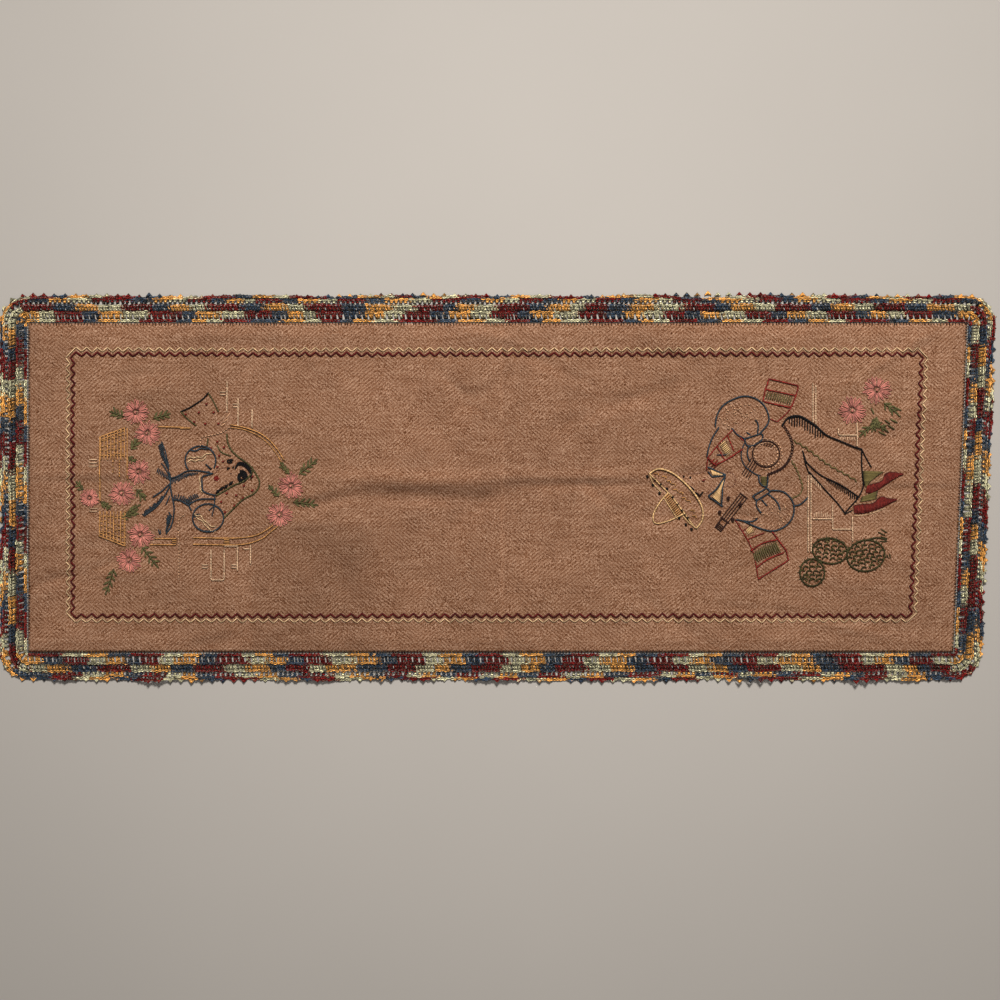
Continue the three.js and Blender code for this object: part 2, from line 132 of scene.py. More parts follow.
def make_wrinkles():
    """Soft wrinkles scattered over the runner, most of them lying along it: middle, direction, half length,
    half width and rise."""
    chance = np.random.default_rng(12)
    wrinkles = []
    for _ in range(64):
        middle = (chance.uniform(-490, 490), chance.uniform(-170, 170))
        angle = chance.normal() * 0.35 + (1.2 if chance.random() < 0.2 else 0)
        rise = chance.uniform(0.6, 2.1) * chance.choice((-1, 1))
        wrinkles.append((*middle, angle, chance.uniform(20, 80), chance.uniform(5, 11), rise))
    return wrinkles


WRINKLES = make_wrinkles()

# Where the front edging stands off the table: place along the runner, and rise
FRONT_PEAKS = ((-372, 3), (-200, 1.5), (-8, 3.2), (272, 3.6), (385, 2.4), (425, 2.4))
FRONT_PEAK_WIDTH = 17


def lie(x, y):
    """How high the underside of the runner lies above the table, in mm."""
    x = np.asarray(x, float)
    y = np.asarray(y, float)
    waves = 0.5 * np.sin(x / 41 + 1.3) * np.sin(y / 27 + 0.4)
    waves += 0.4 * np.sin(x / 24 - y / 33 + 2) + 0.35 * np.sin(x / 63 + y / 17 + 0.7)
    for middle_x, middle_y, angle, length, width, rise in WRINKLES:
        along = (x - middle_x) * math.cos(angle) + (y - middle_y) * math.sin(angle)
        across = (y - middle_y) * math.cos(angle) - (x - middle_x) * math.sin(angle)
        waves += rise * np.exp(-((along / length) ** 2) - (across / width) ** 2)
    folds = sum(rise * bump(x - CROSS_FOLD_LEAN * y, place, width) for place, width, rise in CROSS_FOLD)
    wander = 1.5 * np.sin(x / 30)
    for middle, spread, sway, *ridges in LONG_FOLDS:
        for place, width, rise in ridges:
            folds += rise * bump(x, middle, spread) * bump(y, place + sway * wander, width)
    away = past_edge(x, y)
    settled = np.clip((away - SETTLE_START) / SETTLE_WIDTH, 0, 1)
    settled = settled**2 * (3 - 2 * settled)
    ruffle = 1.1 * np.sin(x / 19 + 0.6) + 1.0 * np.sin(x / 7.5 + np.sin(x / 40))
    peaks = sum(bump(x, place, FRONT_PEAK_WIDTH) * rise for place, rise in FRONT_PEAKS)
    ruffle = np.where(y < 0, ruffle + peaks, 0.35 * ruffle)
    ends = 1.1 * np.sin(y / 14 + 0.4) * (np.abs(x) > RUFFLED_END_X)
    rim = (np.maximum(away, 0) / EDGING_REACH) ** 2 * (0.5 + ruffle + ends)
    inside = MIDDLE_RISE + waves + folds
    border = BORDER_RISE + 0.2 * waves
    return np.clip(inside * (1 - settled) + border * settled + rim, LOWEST, HIGHEST)


def face(x, y):
    """The height of the cloth's right side, in mm."""
    return lie(x, y) + CLOTH_THICKNESS


# ---------------------------------------------------------------- materials


def dye(red, green, blue):
    """A colour given in everyday 0 to 255 steps, as the light-linear colour a shader takes."""
    linear = []
    for step in (red, green, blue):
        share = step / 255
        linear.append(share / 12.92 if share <= 0.04045 else ((share + 0.055) / 1.055) ** 2.4)
    return (*linear, 1.0)


class Number:
    """A shader number that can be used in sums."""

    def __init__(self, recipe, socket):
        self.recipe = recipe
        self.socket = socket

    def sum(self, operation, first, second=0.0):
        return self.recipe.node("Math", {"operation": operation}, {0: first, 1: second})

    def __add__(self, other):
        return self.sum("ADD", self, other)

    def __sub__(self, other):
        return self.sum("SUBTRACT", self, other)

    def __rsub__(self, other):
        return self.sum("SUBTRACT", other, self)

    def __mul__(self, other):
        return self.sum("MULTIPLY", self, other)

    def __neg__(self):
        return self.sum("MULTIPLY", self, -1.0)

    __radd__ = __add__
    __rmul__ = __mul__

    def wave(self):
        """A sine of this number, from -1 to 1."""
        return self.sum("SINE", self)


class Recipe:
    """The nodes of one material."""

    def __init__(self, name):
        self.material = bpy.data.materials.new(name)
        self.material.use_nodes = True
        self.tree = self.material.node_tree
        self.surface = self.tree.nodes["Principled BSDF"]

    def node(self, kind, settings, values, output=0):
        made = self.tree.nodes.new("ShaderNode" + kind)
        for name, value in settings.items():
            if name == "stops":
                self.set_stops(made.color_ramp, value)
            else:
                setattr(made, name, value)
        for key, value in values.items():
            self.give(made.inputs[key], value)
        return Number(self, made.outputs[output])

    def give(self, socket, value):
        if isinstance(value, Number):
            self.tree.links.new(value.socket, socket)
        else:
            socket.default_value = value

    def set_stops(self, ramp, stops):
        while len(ramp.elements) < len(stops):
            ramp.elements.new(0.5)
        for element, (place, colour) in zip(ramp.elements, stops):
            element.position = place
            element.color = colour

    def place(self, scale=(1, 1, 1)):
        """Object coordinates in millimetres, scaled."""
        metres = self.node("TexCoord", {}, {}, "Object")
        return self.node("Mapping", {}, {"Vector": metres, "Scale": [s / MM for s in scale]})

    def noise(self, spot, scale, detail=2.0):
        """Noise from 0 to 1, most of it near 0.5."""
        return self.node("TexNoise", {}, {"Vector": spot, "Scale": scale, "Detail": detail}, "Fac")

    def facing(self):
        """1 where the surface looks straight up, 0 where it stands on edge."""
        normal = self.node("NewGeometry", {}, {}, "Normal")
        up = self.node("SeparateXYZ", {}, {0: normal}, "Z")
        above = self.node("Math", {"operation": "MAXIMUM"}, {0: up, 1: 0.0})
        return self.node("Math", {"operation": "POWER"}, {0: above, 1: 2.2})

    def attribute(self, name):
        return self.node("Attribute", {"attribute_name": name}, {}, "Fac")

    def step(self, number, start, end):
        """0 below start, rising smoothly to 1 above end."""
        values = {"Value": number, "From Min": start, "From Max": end}
        return self.node("MapRange", {"interpolation_type": "SMOOTHSTEP"}, values)

    def band(self, number, start, full, fading, end):
        """1 from full to fading, 0 below start and above end."""
        return self.step(number, start, full) - self.step(number, fading, end)

    def ramp(self, number, stops):
        return self.node("ValToRGB", {"stops": stops}, {"Fac": number})

    def shade(self, colour, number):
        """A colour made lighter or darker by a number round 1."""
        plain = colour if isinstance(colour, Number) else colour[:3]
        return self.node("VectorMath", {"operation": "SCALE"}, {0: plain, "Scale": number})

    def finish(self, colour, roughness, height, distance, sheen=0.0, specular=0.3):
        bump_values = {"Strength": 1.0, "Distance": distance * MM, "Height": height}
        bumped = self.node("Bump", {}, bump_values, "Normal")
        self.give(self.surface.inputs["Base Color"], colour)
        self.give(self.surface.inputs["Roughness"], roughness)
        self.give(self.surface.inputs["Normal"], bumped)
        self.surface.inputs["Sheen Weight"].default_value = sheen
        self.surface.inputs["Sheen Roughness"].default_value = 0.5
        self.surface.inputs["Specular IOR Level"].default_value = specular
        return self.material


# From one rib of the twill to the next, along and across the runner, and from one ply mark to the next
RIB_PITCH_X = 4.9
RIB_PITCH_Y = 4.27
THREAD_PLY_PITCH = 1.5
YARN_PLY_PITCH = 2.1


def twill_finish():
    """Tan cotton twill: diagonal ribs that change their lean in patches, uneven slubby threads and soft
    blotches from years of washing, with painted light and shade on a panel, along two folds and at the
    borders."""
    r = Recipe("tan_twill")
    spot = r.place()
    x = r.node("SeparateXYZ", {}, {0: spot}, "X")
    y = Number(r, x.socket.node.outputs["Y"])
    drift = r.noise(spot, 0.05) * 7.0
    turn_x = 2 * math.pi / RIB_PITCH_X
    turn_y = 2 * math.pi / RIB_PITCH_Y
    rising = (x * turn_x - y * turn_y + drift).wave()
    falling = (x * turn_x + y * turn_y - drift).wave()
    leaning = r.step(r.noise(spot, 0.03), 0.4, 0.6)
    ribs = rising * (leaning * 0.9 + 0.1) + falling * (1.0 - leaning * 0.9)
    warp = r.noise(r.place((1.0, 0.1, 1)), 0.6, 2.0) - 0.5
    weft = r.noise(r.place((0.06, 1.0, 1)), 0.6, 2.0) - 0.5
    grain = r.noise(spot, 0.75, 1.0) - 0.5
    speck = r.noise(spot, 1.5, 0.0) - 0.5
    blotch = r.noise(spot, 0.03, 4.0) - 0.5
    cloud = r.noise(spot, 0.008) - 0.5
    level = ribs * 0.12 + warp * 0.24 + weft * 0.44 + grain * 0.22 + speck * 1.4 + 0.5
    stops = [(0.1, dye(84, 44, 20)), (0.5, dye(158, 108, 77)), (0.9, dye(222, 180, 150))]
    base = r.ramp(level, stops)
    # Painted shade: a darker panel left of the middle, and painted light: a faintly lighter one behind it
    panel_shade = r.band(x, -268, -256, -150, -112) * (1.0 - r.step(y, -60, -30))
    panel_shade = panel_shade * 0.14 + r.band(x, -180, -165, 2, 6) * r.step(y, -10, 20) * -0.03
    # Painted light and painted shade: a light line beside a dark one down the fold across the cloth, and a
    # painted shadow in the crease along the runner, left of the middle
    fold_light_and_shade = r.step(x, 1, 4) * 0.07 - r.step(x, 4, 9) * 0.1 + r.step(x, 12, 24) * 0.03
    crease_shade = r.band(y, -19, -6, -1, 7) * r.band(x, -185, -150, -18, 4)
    # The borders have faded
    # Painted light: the borders, the front one most, and a patch behind the right of the middle are made
    # lighter
    border_light = r.step(y, 120, 172) * 0.02 + r.step(-y, 140, 172) * 0.12
    border_light = border_light + r.step(x, 150, 400) * r.step(y, 0, 120) * 0.05
    colour = r.shade(base, 1.07 + fold_light_and_shade + blotch * 0.32 + cloud * 0.4 - panel_shade - crease_shade * 0.13 + border_light)
    height = ribs * 0.2 + warp + weft + grain + speck * 1.5
    return r.finish(colour, 0.95, height, 0.09, sheen=0.04, specular=0.08)


def thread_finish(name, colour, contrast=0.3, sheen=0.25):
    """Stranded embroidery cotton: two-ply marks winding along the thread, with a soft sheen, and painted
    shade on the sides of each thread.
    """
    r = Recipe(name)
    along = r.attribute("along")
    uv = r.node("TexCoord", {}, {}, "UV")
    around = r.node("SeparateXYZ", {}, {0: uv}, "X")
    ply = (along * (2 * math.pi / THREAD_PLY_PITCH) + around * (2 * math.pi)).wave()
    patch = r.noise(r.place(), 0.35, 3.0) - 0.5
    fleck = r.noise(r.place(), 1.6) - 0.5
    # Painted shade: the sides of the thread, which turn away from straight up, are darker
    side_shade = r.facing() * 1.3 + 0.1
    streaks = 1.0 + ply * 0.2 + patch * (contrast * 1.5) + fleck * (contrast * 2)
    tone = side_shade * r.attribute("tint") * streaks
    return r.finish(r.shade(colour, tone), 0.6, ply + fleck, 0.16, sheen=sheen)


def yarn_finish():
    """Variegated crochet cotton, dyed burgundy, navy, gold and sage in turn, with painted shade on the
    sides and on low-lying strands, and painted highlights as pale glints on faces that look up.
    """
    r = Recipe("variegated_yarn")
    burgundy = dye(116, 15, 15)
    navy = dye(52, 68, 86)
    gold = dye(236, 166, 82)
    sage = dye(212, 204, 164)
    stops = [(0.0, burgundy), (0.31, burgundy), (0.33, navy), (0.53, navy)]
    stops += [(0.55, gold), (0.77, gold), (0.79, sage), (1.0, sage)]
    spot = r.place()
    bleed = (r.noise(spot, 0.4) - 0.5) * 0.14
    shifted = r.node("Math", {"operation": "FRACT"}, {0: r.attribute("dye") + bleed})
    base = r.ramp(shifted, stops)
    patch = r.noise(spot, 0.3, 3.0) - 0.5
    fleck = r.noise(spot, 1.1, 2.0) - 0.5
    ply = (r.attribute("along") * (2 * math.pi / YARN_PLY_PITCH)).wave()
    # Painted shade: the sides of each strand, which turn away from straight up, are darker
    side_shade = r.facing() * 1.35 + 0.07
    # Painted shade: strands that lie low in the work are darker
    depth_shade = r.attribute("raised") * 1.95 + 0.01
    streaks = 1.0 + patch * 0.8 + fleck * 2.8 + ply * 0.15
    shaded = r.shade(base, side_shade * depth_shade * r.attribute("tint") * streaks)
    # Painted highlights: pale glints scattered over the faces that look up
    glints = r.step(r.noise(r.place(), 0.85, 0.0), 0.6, 0.7) * r.facing() * 0.34
    colour = r.node("Mix", {"data_type": "RGBA"}, {"Factor": glints, 6: shaded, 7: dye(236, 214, 176)}, 2)
    return r.finish(colour, 0.8, fleck + patch + ply * 0.3, 0.35, sheen=0.03, specular=0.2)


def table_finish():
    """A plain pale table top, with painted shade darkening it away from the middle."""
    r = Recipe("pale_table")
    soft = r.noise(r.place(), 0.004, 3.0) - 0.5
    # Painted shade: the table grows darker away from the middle, as the light falls off
    metres = r.node("TexCoord", {}, {}, "Object")
    away = r.node("VectorMath", {"operation": "LENGTH"}, {0: metres}, "Value")
    falling = r.step(away, 0.2, 0.9) * 0.2
    colour = r.shade(dye(222, 214, 205), 1.02 + soft * 0.05 - falling)
    return r.finish(colour, 0.85, soft, 0.01, specular=0.2)


# ---------------------------------------------------------------- making pieces


def link(name, data):
    piece = bpy.data.objects.new(name, data)
    bpy.context.scene.collection.objects.link(piece)
    return piece


def finished_mesh(piece):
    """The piece's mesh with its modifiers applied."""
    shown = piece.evaluated_get(bpy.context.evaluated_depsgraph_get())
    return bpy.data.meshes.new_from_object(shown)


def read_points(mesh):
    flat = np.zeros(len(mesh.vertices) * 3)
    mesh.vertices.foreach_get("co", flat)
    return flat.reshape(-1, 3)


def write_points(mesh, points):
    mesh.vertices.foreach_set("co", np.ascontiguousarray(points, dtype=np.float32).ravel())
    mesh.update()


def write_attribute(mesh, name, values):
    made = mesh.attributes.new(name, "FLOAT", "POINT")
    made.data.foreach_set("value", np.ascontiguousarray(values, dtype=np.float32))


def weld(mesh):
    """Closes the tube ends, whose caps come as loose faces."""
    work = bmesh.new()
    work.from_mesh(mesh)
    bmesh.ops.remove_doubles(work, verts=work.verts, dist=1e-6)
    work.to_mesh(mesh)
    work.free()


def tube_mesh(name, threads, sides, tints):
    """Round threads as one mesh. Each thread is (points, radii) in mm, and sides is even. Tints, one for each
    thread, make it lighter or darker than its colour."""
    curve = bpy.data.curves.new(name, "CURVE")
    curve.dimensions = "3D"
    curve.bevel_depth = MM
    curve.bevel_resolution = sides // 2 - 2
    curve.use_fill_caps = True
    for points, radii in threads:
        spline = curve.splines.new("POLY")
        spline.points.add(len(points) - 1)
        spots = np.ones((len(points), 4))
        spots[:, :3] = points * MM
        spline.points.foreach_set("co", spots.ravel())
        spline.points.foreach_set("radius", np.asarray(radii, float))
        spline.use_smooth = True
    piece = link(name, curve)
    mesh = finished_mesh(piece)
    bpy.data.objects.remove(piece)
    bpy.data.curves.remove(curve)
    lengths = []
    for points, radii in threads:
        steps = np.linalg.norm(np.diff(points, axis=0), axis=1)
        lengths.append(np.repeat(np.concatenate([[0], np.cumsum(steps)]), sides))
    walls = np.concatenate(lengths)
    along = np.zeros(len(mesh.vertices))
    along[-len(walls):] = walls
    write_attribute(mesh, "along", along)
    counts = [len(points) * sides for points, radii in threads]
    tint = np.ones(len(mesh.vertices))
    tint[-len(walls):] = np.repeat(tints, counts)
    write_attribute(mesh, "tint", tint)
    weld(mesh)
    mesh.polygons.foreach_set("use_smooth", [True] * len(mesh.polygons))
    return mesh


def add_piece(name, mesh, finish, slot, *nodes):
    """Puts a finished mesh into the scene as a piece of the runner, standing for the CAD nodes named."""
    piece = link(name, mesh)
    mesh.materials.clear()
    mesh.materials.append(finish)
    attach(piece, "root")
    if nodes:
        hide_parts(*nodes)
    return piece


# ---------------------------------------------------------------- the ground cloth

CLOTH_CELLS = (330, 118)  # along and across the cloth


def make_cloth(finish):
    """The cloth as one closed sheet, following the way the runner lies."""
    work = bmesh.new()
    bmesh.ops.create_grid(work, x_segments=CLOTH_CELLS[0], y_segments=CLOTH_CELLS[1], size=0.5)
    mesh = bpy.data.meshes.new("cloth_sheet")
    work.to_mesh(mesh)
    work.free()
    points = read_points(mesh)
    y = FRONT + (points[:, 1] + 0.5) * (BACK - FRONT)
    right = RIGHT - (BACK - y) * END_SLANT / (BACK - FRONT)
    x = LEFT + (points[:, 0] + 0.5) * (right - LEFT)
    write_points(mesh, np.stack([x, y, lie(x, y)], axis=1) * MM)
    sheet = link("cloth_sheet", mesh)
    wall = sheet.modifiers.new("thickness", "SOLIDIFY")
    wall.thickness = CLOTH_THICKNESS * MM
    wall.offset = 1.0
    solid = finished_mesh(sheet)
    bpy.data.objects.remove(sheet)
    solid.polygons.foreach_set("use_smooth", [True] * len(solid.polygons))
    return add_piece("ground_twill_cloth", solid, finish, "ground_twill", "ground_cloth")


# ---------------------------------------------------------------- the crocheted edging

CLOTH_CORNERS = [(LEFT, FRONT), (RIGHT - END_SLANT, FRONT), (RIGHT, BACK), (LEFT, BACK)]


def edge_parts(reach):
    """The sides and corner fans of a line reach mm outside the cloth, anticlockwise from the front left."""
    turns = len(CLOTH_CORNERS)
    corners = [np.array(CLOTH_CORNERS[i % turns], float) for i in range(turns + 2)]
    parts = []
    for a, b, c in zip(corners, corners[1:], corners[2:]):
        heading = math.atan2(*(b - a)[::-1])
        turn = (math.atan2(*(c - b)[::-1]) - heading) % (2 * math.pi)
        out = heading - math.pi / 2
        parts.append((np.linalg.norm(b - a), a, b, out, 0.0))
        parts.append((turn * reach, b, b, out, turn))
    return parts


def round_length(reach):
    return sum(part[0] for part in edge_parts(reach))


def around(way, out, reach):
    """Points way mm along the line that runs reach mm outside the cloth, moved to out mm outside it."""
    x = np.zeros_like(way)
    y = np.zeros_like(way)
    start = 0.0
    total = round_length(reach)
    way = np.mod(way, total)
    for length, a, b, heading, turn in edge_parts(reach):
        here = (way >= start) & (way <= start + length)
        share = (way[here] - start) / length
        angle = heading + turn * share
        x[here] = a[0] + (b[0] - a[0]) * share + np.cos(angle) * out[here]
        y[here] = a[1] + (b[1] - a[1]) * share + np.sin(angle) * out[here]
        start += length
    return x, y


def near_corner(way, reach):
    """1 on the corner fans of the line reach mm outside the cloth, 0 along its sides."""
    start = 0.0
    inside = np.zeros_like(way)
    for length, _, _, _, turn in edge_parts(reach):
        if turn:
            inside += bump(way, start + length / 2, length / 2 + 4)
        start += length
    return inside


def noise_line(seed, count, smooth):
    """Random numbers from about -1 to 1 in a closed ring, changing over smooth steps."""
    rough = np.random.default_rng(seed).normal(size=count)
    margin = 2 * smooth
    closed = np.concatenate([rough[-margin:], rough, rough[:margin]])
    even = np.convolve(closed, np.hanning(margin + 1), "same")[margin:-margin]
    return even / (even.std() * 1.6)


# How uneven the crochet is. The dye strays from its even cycle in pools, stitches and single strands, all in
# mm along the round, and each strand takes one of many random tones.
POOL_STRAY = 11
STITCH_STRAY = 1.3
STRAND_STRAY = 0.9
STRAND_TONES = 4001
TONE_SPREAD = 0.45
CORNER_GATHER = 0.85
YARN_SIDES = 4

# The lowest that yarn may lie above the table, and how far above that a strand counts as fully raised.
# Strands lower than that are painted in shade, the lower the darker.
YARN_LOW = 0.35
YARN_CROWN = 1.8


def work_round(name, strands, start, depth, pitch, seed, dye_shift, cycle=95.0, lean=0.0, slant=0.0,
        wander=0.42):
    """Repeats a stitch right round the runner. strands are ([(along, out, up)...], radius, tint): along and
    out go from 0 to 1 over one stitch and the round's depth, and up is in mm. The dye's colours repeat every
    cycle mm. The feet of neighbouring stitches lean together in pairs by lean mm, slant shifts the heads
    along by that share of a stitch, and every stitch may wander a little. Returns the mesh."""
    reach = start + depth / 2
    total = round_length(reach)
    count = round(total / pitch)
    step = total / count
    threads = []
    tones = []
    for points, radius, tone in strands:
        spots = np.array(points, float) * (step, depth, 1)
        threads.append((spots, np.full(len(spots), radius)))
        tones.append(tone)
    tile = link(name + "_stitch", tube_mesh(name + "_stitch", threads, YARN_SIDES, tones))
    repeat = tile.modifiers.new("repeat", "ARRAY")
    repeat.count = count
    repeat.use_relative_offset = False
    repeat.use_constant_offset = True
    repeat.constant_offset_displace = (step * MM, 0, 0)
    per_stitch = len(tile.data.vertices)
    mesh = finished_mesh(tile)
    bpy.data.objects.remove(tile)
    points = read_points(mesh) / MM
    stitch = np.arange(len(points)) // per_stitch
    chance = np.random.default_rng(seed)
    shift_along = chance.normal(size=count)[stitch] * wander * 0.6
    shift_out = chance.normal(size=count)[stitch] * wander
    shift_up = chance.normal(size=count)[stitch] * wander * 0.8
    up_the_stitch = np.clip(points[:, 1] / depth, -0.3, 1.2)
    openness = np.clip(1 + 0.8 * noise_line(seed + 70, count, 14), 0.1, 1.9)[stitch]
    gather = lean * openness + CORNER_GATHER * near_corner(points[:, 0], reach) * (depth > 5)
    pairing = np.where(stitch % 2 == 0, 1.0, -1.0) * gather * (1 - up_the_stitch)
    way = points[:, 0] + shift_along + pairing + slant * step * (up_the_stitch - 0.5)
    sway = noise_line(seed + 50, count, 12)[stitch] * 0.5
    out = start + points[:, 1] + shift_out * up_the_stitch + sway * (start / 12)
    x, y = around(way, out, reach)
    height = lie(x, y) + points[:, 2] + shift_up
    write_points(mesh, np.stack([x, y, np.maximum(height, YARN_LOW)], axis=1) * MM)
    pools = noise_line(seed + 90, count, 22) * POOL_STRAY
    ragged = chance.normal(size=count) * STITCH_STRAY
    middle = (np.arange(count) + 0.5) * step
    strand = np.zeros(len(points))
    mesh.attributes["along"].data.foreach_get("value", strand)
    strand = (np.cumsum(np.append(True, np.diff(strand) < -1e-4)) * 7 + stitch) % STRAND_TONES
    uneven = chance.normal(size=STRAND_TONES)[strand]
    colour = ((dye_shift - middle + pools + ragged)[stitch] + uneven * STRAND_STRAY) / cycle
    write_attribute(mesh, "dye", np.mod(colour, 1.0))
    tint = np.zeros(len(points))
    mesh.attributes["tint"].data.foreach_get("value", tint)
    tint *= np.clip(1 + TONE_SPREAD * uneven, 0.3, 2.1)
    mesh.attributes["tint"].data.foreach_set("value", tint)
    # How raised each point is, which the yarn finish turns into painted shade on the low strands
    write_attribute(mesh, "raised", np.clip((points[:, 2] - YARN_LOW) / YARN_CROWN, 0, 1) ** 1.6)
    return mesh


def top_chain(low, high, radius, up):
    """The pair of strands that lie along the top of a row of stitches, like a braid."""
    middle = (low + high) / 2
    spread = (high - low) / 2
    upper = [(-0.15, middle, up - 0.3), (0.3, middle + spread, up), (0.8, middle + spread * 0.7, up)]
    lower = [(-0.15, middle, up), (0.3, middle - spread, up + 0.1), (0.8, middle - spread * 0.7, up)]
    end = [(1.1, middle, up - 0.4)]
    return [(upper + end, radius, 1.15), (lower + end, radius, 1.0)]


def post(foot, head, radius, spread, backed=True):
    """A tall stitch: two strands side by side and one wrapped round their middle. Where the work is close,
    two more cross behind them."""
    half = (foot + head) / 2
    left = [(0.5 - spread, foot, 0.5), (0.42 - spread * 0.6, half, 1.0), (0.5 - spread, head, 1.0)]
    right = [(0.5 + spread, foot, 0.5), (0.58 + spread * 0.6, half, 1.0), (0.5 + spread, head, 1.0)]
    wrap = [(0.12, half - 0.12, 0.7), (0.5, half, 1.75), (0.9, half + 0.1, 0.7)]
    behind = [(-0.1, foot + 0.15, 0.15), (0.5, half, 0.35), (1.1, head - 0.1, 0.15)]
    across = [(1.1, foot + 0.2, 0.15), (0.5, half + 0.05, 0.3), (-0.1, head - 0.1, 0.15)]
    # The strands that cross behind lie low and are painted in shade, at half tone
    crossed = [(behind, radius, 0.5), (across, radius, 0.5)]
    front = [(left, radius, 1.0), (right, radius, 0.9), (wrap, radius * 0.85, 1.5)]
    return front + crossed if backed else front


def make_edging(finish):
    """Every round from the cloth outwards: its strands, its pitch in stitches, its seed, where the dye
    starts, and how it differs from an even round."""
    # The leg of each single stitch, going down over the cloth's edge, is painted dark: painted shadow between
    # the legs
    single = [([(0.5, -0.5, 0.55), (0.45, -0.3, 1.15), (0.5, 0.2, 1.2), (0.55, 0.55, 1.0)], 0.5, 0.25)]
    single += top_chain(0.36, 0.86, 0.72, 1.3)
    wide_top = top_chain(0.74, 1.0, 0.56, 1.35)
    inner = post(-0.12, 0.84, 0.58, 0.2, False) + wide_top
    treble = post(-0.12, 0.84, 0.58, 0.24) + wide_top
    outer = post(-0.15, 0.8, 0.6, 0.12, False) + top_chain(0.68, 1.0, 0.58, 1.3)
    chain = top_chain(0.1, 0.9, 0.7, 1.2)
    chain += [([(0.45, -0.5, 0.7), (0.5, 0.0, 1.2), (0.5, 0.5, 1.0)], 0.5, 0.6)]
    made = []
    for name, node, strands, pitch, seed, dye_shift, manner in (
            ("single_crochet", "single_crochet_round", single, 1, 11, 40, {}),
            ("inner_mesh", "inner_mesh_round", inner, 1, 12, 58, dict(cycle=91, lean=0.4, slant=0.35)),
            ("treble", "treble_round", treble, 1, 13, 6, dict(cycle=99, lean=0.12, slant=0.6)),
            ("outer_mesh", "outer_mesh_round", outer, 1.55, 14, 46, dict(cycle=88, lean=0.15, slant=-0.2)),
            ("picot_chain", "picot_round", chain, 1.1, 15, 52, {})):
        mesh = work_round(name, strands, *ROUNDS[node], STITCH_PITCH * pitch, seed, dye_shift, **manner)
        made.append(add_piece(name + "_yarn", mesh, finish, "variegated_yarn", node))
    mesh = work_round("picot", picot_loop(), *ROUNDS["picot_round"], PICOT_PITCH, 16, 52, wander=0.4)
    made.append(add_piece("picot_points_yarn", mesh, finish, "variegated_yarn"))
    return made


def picot_loop():
    """One pointed picot: a loop of chain drawn up to a peak, closed by a small stitch inside it."""
    peak = 1 + PICOT_HEIGHT / ROUNDS["picot_round"][1] - 0.25
    loop = [(0.2, 0.6, 0.8), (0.31, 0.95, 1.2), (0.43, peak - 0.45, 1.3), (0.5, peak, 1.2)]
    loop += [(0.57, peak - 0.45, 1.3), (0.69, 0.95, 1.2), (0.8, 0.6, 0.8)]
    middle = [(0.42, 0.8, 1.0), (0.47, 1.2, 1.7), (0.5, peak - 0.5, 1.3), (0.54, 1.1, 1.5), (0.6, 0.8, 1.0)]
    return [(loop, 0.68, 0.9), (middle, 0.72, 1.0)]


# ---------------------------------------------------------------- embroidery

FLOW_STEPS = 5
STEM_OVERLAP = 0.16  # share of a stem stitch that lies beside the next one
THREAD_SIDES = 6
TINT_SPREAD = 0.3
BURIED = -0.3  # how far a stitch's ends go into the cloth


def flowing(points):
    """A smooth line through points."""
    spots = np.array(points, float)
    spots = np.vstack([spots[0] * 2 - spots[1], spots, spots[-1] * 2 - spots[-2]])
    line = []
    for before, a, b, after in zip(spots, spots[1:], spots[2:], spots[3:]):
        for t in np.arange(FLOW_STEPS) / FLOW_STEPS:
            line.append(0.5 * (2 * a + (b - before) * t + (2 * before - 5 * a + 4 * b - after) * t**2
                + (3 * a - before - 3 * b + after) * t**3))
    line.append(spots[-2])
    return np.array(line)


def ring(x, y, across, down, start, end, steps):
    """Part of an oval from one angle to another, in degrees."""
    angles = np.radians(np.linspace(start, end, steps + 1))
    return np.stack([x + across * np.cos(angles), y + down * np.sin(angles)], axis=1)


def spots_along(points, shares):
    """Points at these shares of a line's length."""
    spots = np.array(points, float)
    lengths = np.concatenate([[0], np.cumsum(np.linalg.norm(np.diff(spots, axis=0), axis=1))])
    at = np.array(shares) * lengths[-1]
    return np.stack([np.interp(at, lengths, spots[:, i]) for i in (0, 1)], axis=1)


def line_length(points):
    return float(np.linalg.norm(np.diff(np.array(points, float), axis=0), axis=1).sum())


